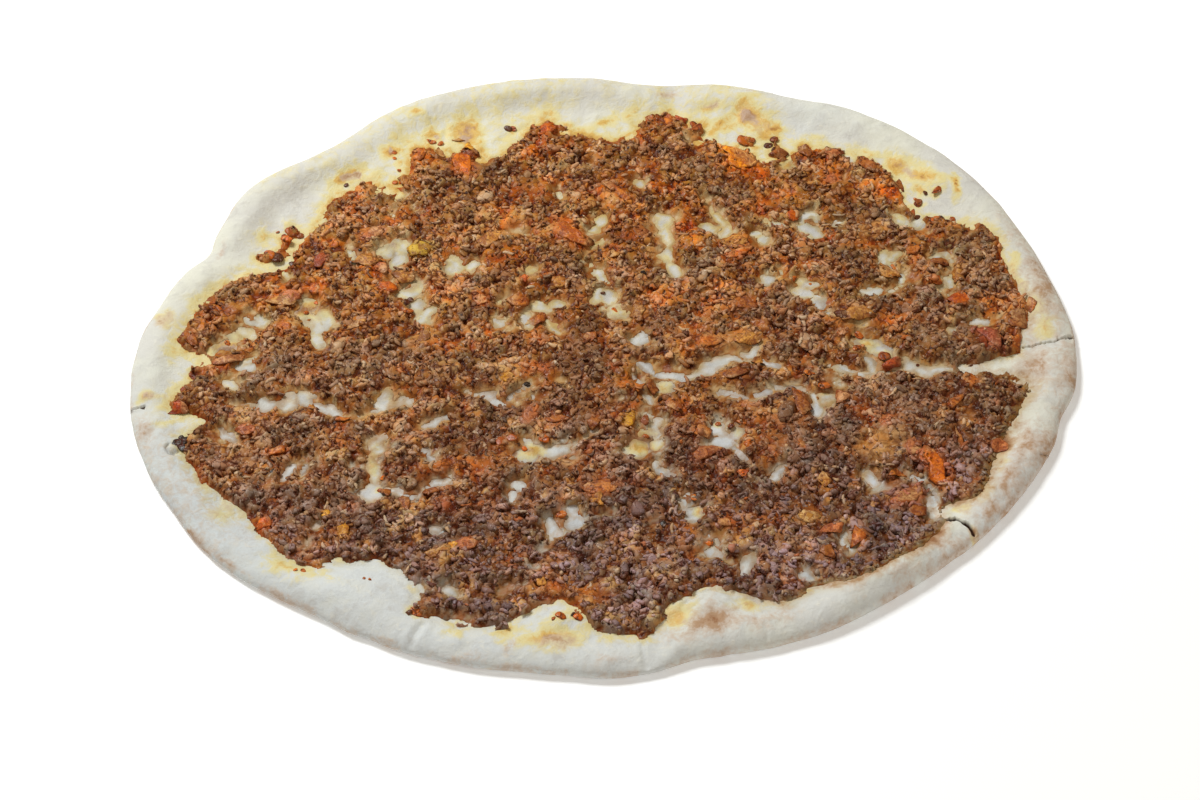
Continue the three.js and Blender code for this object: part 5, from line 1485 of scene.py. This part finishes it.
# chopped pieces that the CAD holds: node, slot, x, y, colour, corners about x and y, thickness
PIECES = [
    ("pepper_piece_1", "pepper", 60, 78, (232, 130, 14), [(-9.2, 4.6), (-1.6, 3.9), (1.6, 0), (4.4, -4.9), (3, -6.8), (-2.3, -7.3), (-5.8, -4.7), (-4.9, 1.0)], 1.7),
    ("pepper_piece_2", "pepper", 81, -73, (184, 94, 48), [(-5.6, -4.4), (-3, -1.2), (0, -0.2), (5.6, 1.4), (6.3, -2), (3, -4.6), (-1, -5.7)], 1.5),
    ("pepper_piece_3", "pepper", 93, -62, (200, 92, 14), [(-3.1, 3.7), (1.1, 2.8), (2.9, -1.9), (2.4, -6), (1.8, -10), (-1, -10.9), (-3.2, -7.4), (-1.7, -2.9), (-2.8, 0.2)], 1.9),
    ("pepper_piece_4", "pepper", 50, 35, (206, 98, 26), [(-5.2, -2.2), (-3.6, -4.4), (0, -3.8), (3.2, -2), (5.6, -0.4), (4.6, 0.6), (0, -0.3), (-3, -0.9)], 1.4),
    ("pepper_piece_5", "pepper", -89, 42, (206, 96, 22), [(-2.8, -1.8), (-1.6, 0.9), (0.8, 0.9), (1.2, -2), (0.2, -4), (-2, -3.6)], 1.4),
    ("tomato_piece_1", "tomato", -33, 90, (204, 96, 8), [(-2.7, 4.6), (0.2, 3.8), (2.0, 1.3), (1.4, -3.6), (0.3, -8.4), (-2, -7), (-4.4, -2.9), (-4.8, 0.6)], 1.8),
    ("tomato_piece_2", "tomato", -3, 54, (204, 106, 44), [(-5.2, 2.7), (-1.7, 2.9), (1.3, -1.5), (4.6, -5.4), (7.3, -8.2), (3.8, -9.8), (-1, -7), (-4.6, -3.6)], 1.6),
    ("tomato_piece_3", "tomato", 24, -49, (172, 92, 62), [(-5.6, 0.4), (-2.1, 3), (4.1, 2.8), (6.3, 1.4), (1.3, -0.9), (-3.5, -2.6)], 1.4),
    ("tomato_piece_4", "tomato", -12, -54, (186, 104, 62), [(-5, 0.1), (-1.6, -0.1), (3.3, 0.4), (7.1, -2.2), (4.7, -5.1), (-0.2, -5.6), (-4.4, -3.8)], 1.4),
    ("tomato_piece_5", "tomato", 123, -13, (166, 74, 62), [(-4.1, 1.0), (0.1, 1.8), (2.9, -1.1), (3.1, -4.5), (2.2, -8.7), (-0.6, -6.6), (-2, -3.1)], 1.5),
    ("tomato_piece_6", "tomato", -3, 101, (206, 90, 10), [(-4.2, -1.1), (-1.0, 2.4), (2.4, 3.1), (3.5, 0.3), (1.8, -2.4), (-2.4, -3.1)], 1.8),
    ("onion_piece_1", "onion", -51, 54, (196, 146, 60), [(-7, 1), (-1.4, 1.2), (2.1, -1.8), (-0.8, -4.9), (-6.3, -4.5)], 1.3),
    ("onion_piece_2", "onion", 54, -77, (184, 130, 82), [(-7.8, 0), (-5, 1.5), (-0.5, -0.2), (-0.1, -2.7), (-4.4, -3.8), (-7.5, -2.7)], 1.3),
]


def slab(corners, thick, seed, divisions=4):
    """A flat cut piece with the given corners: a rounded slab with a wrinkled skin."""
    co, tri = ball(divisions)
    p = np.array(corners, float)
    mid = p.mean(0)
    p = p - mid
    ang = np.arctan2(co[:, 1], co[:, 0])
    d = np.stack([np.cos(ang), np.sin(ang)], -1)
    reach = np.full(len(d), 0.0)
    for a, b in zip(p, np.roll(p, -1, 0)):
        e = b - a
        den = d[:, 0] * e[1] - d[:, 1] * e[0]
        den = np.where(np.abs(den) < 1e-9, 1e-9, den)
        t = (a[0] * e[1] - a[1] * e[0]) / den
        s = (a[0] * d[:, 1] - a[1] * d[:, 0]) / den
        reach = np.where((t > 0) & (s >= -0.001) & (s <= 1.001), np.maximum(reach, t), reach)
    reach = np.where(reach < 0.2, np.hypot(*p.T).min(), reach)
    flat = np.hypot(co[:, 0], co[:, 1])
    flat = np.where(flat > 0, np.minimum(flat, 1) ** 0.62, 0)
    rag = 1 + 0.09 * noise3(np.stack([3 * d[:, 0], 3 * d[:, 1], 0 * ang + seed], -1), 0.9, seed)
    xy = d * (reach * flat * rag)[:, None]
    z = np.sign(co[:, 2]) * np.abs(co[:, 2]) ** 0.7 * thick / 2
    z = z + 0.32 * noise2(xy[:, 0] + seed, xy[:, 1], 4.2, seed) + 0.16 * noise2(xy[:, 0], xy[:, 1] + seed, 1.7, seed + 1)
    z = z + np.where(co[:, 2] > 0, 0.1 * noise2(xy[:, 0], xy[:, 1], 0.9, seed + 2), 0)
    return np.c_[xy + mid, z], tri, co[:, 2]


def mat_base(x, y):
    """The mince's surface without its fine relief."""
    f, outer = mince_inside(x, y, False)
    depth = 1.85 + 0.5 * fbm2(x, y, 19, 2, 87)
    return bread_top(x, y, False) + 0.1 + smooth((f + 1.2) / 3.2) * (depth + 0.1)


def flesh_tints(x, y, up, inner, colour, seed, rng_tone=None):
    """Mottled flesh: browner and darker to the cut edges, with tan and deep parts, and darker on the underside as
    painted shade.
    """
    c = np.broadcast_to(colour, x.shape + (3,)).copy()
    t1, t2, t3 = noise2(x, y, 3.1, seed), noise2(x, y, 1.5, seed + 1), noise2(x, y, 4.3, seed + 2)
    c = c * (1 + 0.22 * t1 + 0.16 * t2)[..., None]
    c = mix(c, np.broadcast_to(MEAT["tan"], c.shape), 0.55 * smooth((t3 - 0.15) * 2.2))
    c = mix(c, np.broadcast_to(srgb(122, 62, 26), c.shape), 0.6 * smooth((inner - 0.62) / 0.4) * (0.7 + 0.4 * t2))
    # painted shade: the underside is darkened to about a third
    return mix(c * 0.35, c, smooth((up + 0.5) / 0.8))


def build_piece(row, k):
    name, slot, px, py, colour, corners, thick = row
    p, tri, up = slab(corners, thick, 90 + 7 * k)
    x, y = px + p[:, 0], py + p[:, 1]
    pts = np.array(corners, float)
    near = near_line(p[:, 0], p[:, 1], list(pts) + [pts[0]])
    inner = 1 - smooth(near / 1.3)
    z = mat_base(x, y) + 0.8 * p[:, 2] - 0.12
    tint = flesh_tints(x, y, up, inner, srgb(*colour) * [1.06, 1.14, 0.62], 140 + 3 * k)
    return new_object(name + "_look", np.c_[x, y, z], [tri], {"tint": np.clip(tint, 0, 1)}), slot, name


# flakes of tomato, pepper and onion that lie in the mince: x, y, length, width, turn, tone
FLAKES = [
    (-98, 38.6, 6.6, 6, 0, "salmon"), (-66, 37, 7, 4.6, -25, "orange"), (117, 1.5, 7.5, 5.2, 12, "orange"),
    (15, 67.5, 13, 3.2, 126, "rust"), (-48, 96, 7, 4, 59, "rust"), (71, 47, 4, 3.4, 122, "orange"),
    (1.8, -31.5, 6.5, 5, 70, "amber"), (-37, 27, 6.5, 4.4, 100, "orange"), (-60.5, 41, 7, 5, 160, "tan"),
    (-31, 97, 5, 3.4, 106, "amber"), (-54, 85, 7, 4, 97, "tan"), (-25, 24, 8, 5, -20, "rust"), (38, 98, 6, 3, 87, "rust"),
    (42.5, 98, 5, 3, -30, "red"), (-21.6, 33.4, 3.2, 2.6, 60, "orange"), (-41, 96, 6, 3, 109, "tan"),
    (91, 73, 7, 3.8, 20, "salmon"), (107, 25, 6, 3.4, 30, "rust"), (-131.8, 26.2, 8, 4.2, 120, "umber"),
    (-101, 25.5, 5, 4, 120, "rust"), (139, -4.8, 6, 3.6, 70, "rust"), (131, -19, 6, 2.8, 59, "rust"),
    (17, -27.5, 7, 4.4, -40, "rust"), (-4.4, 5, 4.4, 4, 86, "rust"), (24.5, -39.5, 5.6, 5.2, 0, "rust"),
    (33.5, -2.6, 8, 6, 0, "rust"), (-21, -5, 5, 5, 0, "salmon"), (92, -68, 4, 2.6, 66, "rust"),
    (87, 61.5, 5, 4.6, 172, "salmon"), (-78, 22.6, 8, 3, 24, "tan"), (-19, 15.4, 6, 3.4, 57, "rust"),
    (24.2, -76, 3.6, 4.6, 78, "rust"), (48, 11, 6.4, 5, -20, "umber"), (-83.6, -29, 4.6, 6, 20, "umber"),
    (66.2, -55, 3.6, 5, 14, "umber"), (-86.5, 53, 4, 6.4, -30, "red"), (-17.6, -97.6, 6.4, 5, 47, "umber"),
    (53, -93, 5, 4, 110, "umber"), (82, -45.5, 5.6, 3.6, 40, "salmon"), (-55, -72, 7.4, 4.4, 0, "salmon"),
    (-64, -73.4, 10, 3.2, 12, "tan"), (-59.6, -71.8, 3.6, 2.4, 0, "amber"), (89.5, -21.4, 7.4, 3, 14, "red"),
    (-115.2, -53.6, 5.4, 4.2, 20, "orange"), (-91.6, -60.6, 3.6, 6, -20, "amber"), (-96.4, -53, 2.8, 3, 0, "amber"),
    (-137.4, -2.6, 5.4, 4.2, -20, "red"), (-109, -25.8, 7.4, 3, 8, "rust"), (112, -32.6, 4.6, 6.6, -10, "rust"),
    (105.6, -40.4, 6.4, 3, 30, "rust"), (53, -50.6, 3, 4, 0, "rust"), (57.6, -65.4, 4, 5.4, 0, "tan"),
    (-13, -61.4, 4, 5, 0, "tan"), (33.2, -58.4, 3.6, 3, 0, "orange"), (80.6, -65.8, 5, 2.6, 0, "rust"),
    (70, -77.6, 5.6, 2.2, 20, "umber"), (63.4, -88, 4.6, 7, -10, "rust"), (84, -81.6, 6, 4.6, 0, "umber"),
    (102, -80.4, 4.6, 2, 10, "umber"), (115, -60.4, 6.4, 5.6, 50, "salmon"), (102.8, -57, 2.2, 8.6, 0, "umber"),
    (57, -33.6, 4.6, 10, 8, "umber"), (-33, -7.4, 3.6, 5, -30, "amber"), (12.4, 13, 4.6, 8, -14, "tan"),
    (-100.6, 37, 11, 4, -5, "tan"), (4.6, 63, 6.4, 5.2, 40, "tan"), (-72, 50, 9, 5, -25, "tan"),
    (-67, 45.6, 4.6, 5, 0, "salmon"), (-68, 61.6, 8, 5, 20, "salmon"), (-58.4, 13.4, 9, 4.4, 40, "tan"),
    (97.4, 35.6, 4.6, 4.6, 0, "tan"), (-30, 53, 10, 5, 25, "tan"), (19.6, 48, 5, 5.6, 0, "umber"),
    (49.6, 38.6, 8, 6.6, 0, "tan"), (45, -4, 9, 5, 0, "tan"), (-118, 35, 8, 3.4, -15, "umber"),
    (-120, 14.6, 11, 3.4, 8, "salmon"), (-94, 4, 5, 3.6, 0, "umber"), (-10.6, 30, 4, 5, 0, "tan"), (9, 39, 4, 3.6, 0, "tan"),
    (-117.6, -15.6, 6, 4.4, 0, "salmon"), (-95.6, -9.4, 3, 3.4, 0, "tan"), (-86.6, -15.6, 5.6, 3, 10, "rust"),
    (-77, -47, 3, 5, 15, "umber"), (-72, -52, 6, 4, 70, "umber"), (-63.4, -49.6, 5, 2.6, 0, "umber"),
    (-60, -55, 6, 5, 0, "salmon"), (-35, -89.6, 3.4, 3.4, 0, "tan"), (1, -9, 4, 4, 0, "salmon"), (3, -16.6, 5, 4, 0, "rust"),
    (7.4, -18.4, 3.4, 4.4, 0, "rust"), (11.8, -19, 3.4, 5, 0, "umber"), (-9, -30.6, 4, 4.6, 0, "umber"),
    (-28.6, -24, 5, 8, -30, "salmon"), (-20.6, -27, 7, 3.4, 0, "umber"), (70.4, -32.6, 5, 5, 0, "salmon"),
    (50, -78.4, 3, 3, 0, "tan"), (56, -84, 8, 3.6, 8, "salmon"), (88, -57, 5, 7, -20, "salmon"), (83, 0.6, 9, 6.6, 0, "tan"),
    (97, 17, 6, 8, 40, "tan"), (119, 12.6, 3.4, 8, -20, "tan"), (111.6, 10.4, 3, 4, 0, "rust"),
    (114, 18.6, 6, 3.4, -20, "umber"), (101, 66, 7, 4.6, -45, "umber"), (109, 55.6, 4, 5.6, 0, "umber"),
    (81, 75.6, 4.4, 7, 20, "umber"), (72.6, 76.6, 6, 3.6, 0, "umber"), (133.4, -9.6, 6.6, 8.4, -20, "umber"),
    (38.6, -17.6, 9, 4, 8, "umber"), (47, -13.4, 4.4, 4.4, 0, "tan"), (-124, 4.4, 4, 4, 0, "umber"),
    (-34, 101.6, 4.6, 1.3, -12, "tan"), (-16.4, 93.6, 4, 3.4, 0, "umber"),
]
FLAKES = toned(FLAKES, 5, 0.08)


def flake_shapes(base, count, seed, rng):
    """Flat flakes with a few corners."""
    out = []
    for k in range(count):
        ang = np.arctan2(base[:, 1], base[:, 0])
        corners = rng.integers(3, 6)
        start = rng.uniform(0, 6.28)
        sector = 2 * np.pi / corners
        inner = (ang - start) % sector - sector / 2
        edge = math.cos(sector / 2) / np.cos(inner)
        edge = (edge ** 0.85) / edge.mean() ** 0.85
        edge = edge * (1 + 0.16 * noise3(np.stack([np.cos(ang), np.sin(ang), 0 * ang + 3.1 * k], -1), 0.6, seed + k))
        flat = np.minimum(np.hypot(base[:, 0], base[:, 1]), 1) ** 0.6
        p = np.c_[np.cos(ang) * flat * edge, np.sin(ang) * flat * edge, np.sign(base[:, 2]) * np.abs(base[:, 2]) ** 0.7]
        p[:, 2] += 0.55 * noise2(p[:, 0], p[:, 1], 0.9, seed + 20 + k) + 0.2 * noise2(p[:, 0], p[:, 1], 0.4, seed + 60 + k)
        out.append(p)
    return np.array(out)


def lay_flakes(base, tri, rows, colour, seed, rng):
    """Flakes that follow the mince's surface, half sunk in it."""
    n = len(rows)
    shapes = flake_shapes(base, 16, seed, rng)
    p = shapes[rng.integers(0, 16, n)]
    c, k = np.cos(np.radians(rows[:, 4]))[:, None], np.sin(np.radians(rows[:, 4]))[:, None]
    u, v = p[..., 0] * rows[:, 2:3] / 2, p[..., 1] * rows[:, 3:4] / 2
    x, y = rows[:, 0:1] + u * c - v * k, rows[:, 1:2] + u * k + v * c
    x = x + 0.3 * noise2(x, y, 1.4, seed + 1)
    y = y + 0.3 * noise2(x, y, 1.4, seed + 2)
    thick = (0.26 + 0.16 * rng.random(n))[:, None]
    z = mat_base(x.ravel(), y.ravel()).reshape(x.shape) + thick * p[..., 2] - 0.02
    z = z + 0.20 * noise2(x, y, 1.8, seed + 3) + 0.10 * noise2(x, y, 0.9, seed + 4)
    inner = np.hypot(p[..., 0], p[..., 1])
    tint = flesh_tints(x, y, base[None, :, 2] + 0 * x, inner, colour[:, None, :] * [1.06, 1.14, 0.7], seed + 5)
    faces = (tri[None] + (np.arange(n) * len(base))[:, None, None]).reshape(-1, 3)
    co = np.stack([x, y, z], -1).reshape(-1, 3)
    return new_object("vegetable_flakes", co, [faces], {"tint": np.clip(tint, 0, 1).reshape(-1, 3)})


def covered(x, y, rows, scale):
    hit = np.zeros(len(x), bool)
    for r in rows:
        m = close_by(x, y, r, 1)
        if m.any():
            u, v = turned(x[m], y[m], (r[0], r[1], r[2] * scale, r[3] * scale, r[4]))
            hit[np.nonzero(m)[0][u * u + v * v < 1]] = True
    return hit


def in_polygon(x, y, corners):
    inside = np.zeros(len(x), bool)
    pts = list(corners)
    for (ax, ay), (bx, by) in zip(pts, pts[1:] + pts[:1]):
        cross = ((ay > y) != (by > y)) & (x < (bx - ax) * (y - ay) / ((by - ay) or 1e-9) + ax)
        inside ^= cross
    return inside


class Field:
    """Places for crumbs on the mince, with what the mat is like there."""

    def __init__(self, rng, pitch, limit, bare=0.25, on_flesh=0.3, skip=0.8, gap=0.5):
        gx, gy = np.meshgrid(np.arange(-148, 148, pitch), np.arange(-122, 114, pitch * 0.87))
        gx = gx + (np.arange(gx.shape[0]) % 2)[:, None] * pitch / 2
        x = (gx + rng.uniform(-0.5, 0.5, gx.shape) * pitch).ravel()
        y = (gy + rng.uniform(-0.5, 0.5, gy.shape) * pitch).ravel()
        keep = mince_inside(x, y)[0] > bare
        x, y = x[keep], y[keep]
        hit = covered(x, y, FLAKES, 0.8)
        for row in PIECES:
            hit |= in_polygon(x, y, [(row[2] + 0.9 * cx, row[3] + 0.9 * cy) for cx, cy in row[5]])
        keep = ~hit | (rng.random(len(x)) < on_flesh)
        x, y, hit = x[keep], y[keep], hit[keep]
        ground, level, f, outer, zones, groove, thin, _ = mince_level(x, y)
        calm = np.clip(0.7 * zones["R"] + 0.85 * zones["T"] + 1.1 * thin, 0, 1)
        keep = np.nonzero((rng.random(len(x)) > skip * calm) & (groove < gap))[0]
        keep = keep[rng.permutation(len(keep))[:limit]]
        self.x, self.y, self.hit = x[keep], y[keep], hit[keep]
        self.ground, self.level, self.f, self.outer, self.thin = (v[keep] for v in (ground, level, f, outer, thin))
        self.level = np.where(self.hit, mat_base(self.x, self.y) + 0.25, self.level)
        self.zones = {k: v[keep] for k, v in zones.items()}
        self.n = len(keep)

    def tints(self, rng, spread, pale, dark, warm=0.06):
        c = meat_colour(self.x, self.y, self.zones)
        # dry crumbs are pinker and greyer than the glaze between them
        grey = (c @ np.array([0.3, 0.6, 0.1]))[:, None] * np.array([1.50, 0.83, 0.58])
        near = smooth((-self.y - 45) / 35)
        c = mix(c, grey, 0.32 + 0.2 * near + 0.18 * rng.random(self.n) * (1 - 0.6 * np.clip(self.zones["R"], 0, 1)))
        # painted highlight: the crumbs, which stand highest, are made paler and bluer, bluest on the near side
        c = c * (1 + near[:, None] * np.array([-0.04, 0.0, 0.33]))
        c = smear(self.x, self.y, c, 1.0, 0.6) * [1.07, 1.14, 1.20]
        c = c * np.exp(rng.normal(0, spread, self.n))[:, None]
        pick = rng.random(self.n)
        c = mix(c, np.broadcast_to(MEAT["pale"], c.shape), np.where(pick < pale, rng.uniform(0.3, 0.75, self.n), 0.0))
        c = mix(c, np.broadcast_to(DARK, c.shape), np.where(pick > 1 - dark, rng.uniform(0.3, 0.75, self.n), 0.0))
        hot = rng.random(self.n) < warm
        c = mix(c, np.broadcast_to(srgb(200, 108, 38), c.shape), np.where(hot, rng.uniform(0.3, 0.8, self.n), 0.0))
        return edge_colours(c, self.f + 0.5, self.outer, 0.6 * self.thin, self.x, self.y)


def main():
    rng = np.random.default_rng(20241)
    finish_piece(build_bread(), bread_material(), "bread", "flatbread")
    finish_piece(build_mince_core(), mince_material("mince_mass", (0.30, 0.52)), "mince", "mince_topping")

    for k, row in enumerate(PIECES):
        ob, slot, node = build_piece(row, k)
        mat = bpy.data.materials.get(slot + "_flesh") or vegetable_material(slot + "_flesh", 0.34 if slot != "onion" else 0.42)
        finish_piece(ob, mat, slot, node)

    # flakes: the ones that stand out; the others are only colour in the mince
    base, tri = ball(3)
    vivid = [f for f in FLAKES if f[5][0] - f[5][2] > 110]
    flakes = lay_flakes(base, tri, np.array([f[:5] for f in vivid], float), np.array([srgb(*f[5]) for f in vivid]), 300, rng)
    finish_piece(flakes, bpy.data.materials["tomato_flesh"], "tomato")

    # lumps of fused crumbs
    base, tri = ball(2)
    at = Field(rng, 8.0, 260, 2.0, 0.05, 1.0)
    size = np.minimum(1.65 * np.exp(rng.normal(0, 0.24, at.n)), 0.5 + 0.55 * at.f)
    z = np.maximum(at.level + rng.uniform(-0.6, -0.2, at.n), at.ground + 0.3 * size)
    dims = size[:, None] * np.c_[rng.uniform(1.0, 1.7, at.n), rng.uniform(0.75, 1.1, at.n), rng.uniform(0.38, 0.55, at.n)]
    shapes = lumpy(base, 40, 180, 0.42, 6, rng)
    ob = scatter("mince_lumps", shapes, tri, rng.integers(0, 40, at.n), np.c_[at.x, at.y, z], dims,
                 lying_turns(rng, rng.uniform(0, 360, at.n), 12), at.tints(rng, 0.08, 0.03, 0.02, 0.01), 0.62, 0.03, rng)
    finish_piece(ob, mince_material("mince_lump_surface"), "mince")
    print("mince_lumps", at.n)

    # torn crumbs
    base, tri = small_ball()
    at = Field(rng, 3.2, 2800, 0.8, 0.1, 1.0)
    size = np.minimum(1.02 * np.exp(rng.normal(0, 0.26, at.n)), 0.5 + 0.3 * np.maximum(at.f, 0))
    z = np.maximum(at.level + rng.uniform(-0.5, 0.0, at.n), at.ground + 0.3 * size)
    dims = size[:, None] * np.c_[rng.uniform(1.0, 1.7, at.n), rng.uniform(0.7, 1.1, at.n), rng.uniform(0.42, 0.65, at.n)]
    shapes = lumpy(base, 40, 200, 0.34, 5, rng)
    ob = scatter("mince_crumbs", shapes, tri, rng.integers(0, 40, at.n), np.c_[at.x, at.y, z], dims,
                 lying_turns(rng, rng.uniform(0, 360, at.n), 20), at.tints(rng, 0.09, 0.05, 0.03, 0.01), 0.66, 0.04, rng)
    finish_piece(ob, mince_material("mince_crumb_surface"), "mince")
    print("mince_crumbs", at.n)

    # bent shreds
    base, tri = rod()
    at = Field(rng, 3.9, 1700, 1.2, 0.2, 1.0)
    fat = rng.uniform(0.5, 0.85, at.n)
    shapes = bent_rods(base, 24, 260, rng)
    ob = scatter("mince_shreds", shapes, tri, rng.integers(0, 24, at.n),
                 np.c_[at.x, at.y, at.level + rng.uniform(-0.3, 0.15, at.n)],
                 np.c_[rng.uniform(1.2, 2.4, at.n), fat, fat * 0.75], lying_turns(rng, rng.uniform(0, 360, at.n), 14),
                 at.tints(rng, 0.10, 0.08, 0.04, 0.01), 0.66, 0.04, rng)
    finish_piece(ob, mince_material("mince_shred_surface", pits=0.5), "mince")
    print("mince_shreds", at.n)

    # fine grains
    base, tri = ball(1)
    at = Field(rng, 4.0, 1900, 0.2, 0.3, 0.7)
    size = 0.48 * np.exp(rng.normal(0, 0.28, at.n))
    shapes = np.array([base * (1 + 0.3 * rng.normal(size=(len(base), 1))) for _ in range(30)])
    ob = scatter("mince_grains", shapes, tri, rng.integers(0, 30, at.n),
                 np.c_[at.x, at.y, at.level + rng.uniform(0.0, 0.5, at.n) * smooth(at.f / 2)],
                 size[:, None] * rng.uniform(0.7, 1.5, (at.n, 3)), random_turns(rng, at.n),
                 at.tints(rng, 0.16, 0.14, 0.08, 0.03), 0.5, 0.06, rng)
    finish_piece(ob, mince_material("mince_grain_surface", pits=0.5), "mince")
    print("mince_grains", at.n)

    # the loose crumbs on the dough
    base, tri = ball(3)
    rows = [s for s in LOOSE if s[3][0] < 176]
    loose = np.array([s[:3] for s in rows], float)
    n = len(loose)
    ground, level, f, *_ = mince_level(loose[:, 0], loose[:, 1])
    z = np.maximum(ground + 0.2 * loose[:, 2], np.where(f > 0, level, 0) - 0.05 * loose[:, 2])
    dims = loose[:, 2:3] * np.c_[rng.uniform(0.95, 1.3, n), rng.uniform(0.8, 1.0, n), rng.uniform(0.24, 0.36, n)]
    tint = np.minimum(np.array([srgb(*s[3]) for s in rows]) * [1.7, 1.45, 0.9], 0.8)
    ob = scatter("loose_crumbs", lumpy(base, 20, 400, 0.26, 3, rng), tri, rng.integers(0, 20, n), np.c_[loose[:, :2], z],
                 dims, lying_turns(rng, rng.uniform(0, 360, n), 12), tint, 0.5, 0.08, rng)
    finish_piece(ob, mince_material("loose_crumb_surface", (0.3, 0.5), 0.3, 2.6, 0.6), "mince")

    # ---------------------------------------------------------------- floor, light, camera
    me = bpy.data.meshes.new("floor")
    me.from_pydata([(-3, -3, -0.0003), (3, -3, -0.0003), (3, 3, -0.0003), (-3, 3, -0.0003)], [], [(0, 1, 2, 3)])
    floor = bpy.data.objects.new("floor", me)
    bpy.context.scene.collection.objects.link(floor)
    fm = bpy.data.materials.new("pale_floor")
    fm.use_nodes = True
    shader = fm.node_tree.nodes["Principled BSDF"]
    shader.inputs["Base Color"].default_value = (0.965, 0.975, 0.985, 1)
    shader.inputs["Emission Color"].default_value = (1, 1, 1, 1)
    shader.inputs["Emission Strength"].default_value = 0.17
    shader.inputs["Roughness"].default_value = 0.9
    shader.inputs["Specular IOR Level"].default_value = 0.0
    me.materials.append(fm)

    world = bpy.data.worlds.new("studio")
    world.use_nodes = True
    world.node_tree.nodes["Background"].inputs[0].default_value = (1.0, 0.88, 0.72, 1)
    world.node_tree.nodes["Background"].inputs[1].default_value = 0.31
    bpy.context.scene.world = world

    def area(name, place, size, power, colour):
        data = bpy.data.lights.new(name, "AREA")
        data.shape = "DISK"
        data.size = size
        data.energy = power
        data.color = colour
        ob = bpy.data.objects.new(name, data)
        ob.location = place
        ob.rotation_euler = (-ob.location).to_track_quat("-Z", "Y").to_euler()
        bpy.context.scene.collection.objects.link(ob)

    area("key", (-0.50, 0.66, 1.05), 0.40, 15.0, (0.945, 0.985, 1.0))
    area("fill", (0.5, -0.9, 1.1), 0.9, 3.0, (0.95, 0.98, 1.0))

    scene = bpy.context.scene
    scene.view_settings.view_transform = "Standard"
    scene.view_settings.look = "None"

    elev, azim = math.radians(50.0), math.radians(-9.46)
    back = np.array([math.sin(azim) * math.cos(elev), -math.cos(azim) * math.cos(elev), math.sin(elev)])
    target = np.array([-0.00537, -0.02051, 0.003]) + MIDDLE * MM
    cam = bpy.data.cameras.new("camera")
    cam.sensor_width = 36.0
    cam.sensor_fit = "HORIZONTAL"
    cam.lens = 94.5
    cam.clip_start = 0.05
    cam.clip_end = 20
    eye = bpy.data.objects.new("camera", cam)
    eye.location = tuple(target + back * 1.0)
    eye.rotation_euler = Vector(tuple(-back)).to_track_quat("-Z", "Y").to_euler()
    bpy.context.scene.collection.objects.link(eye)
    scene.camera = eye


main()

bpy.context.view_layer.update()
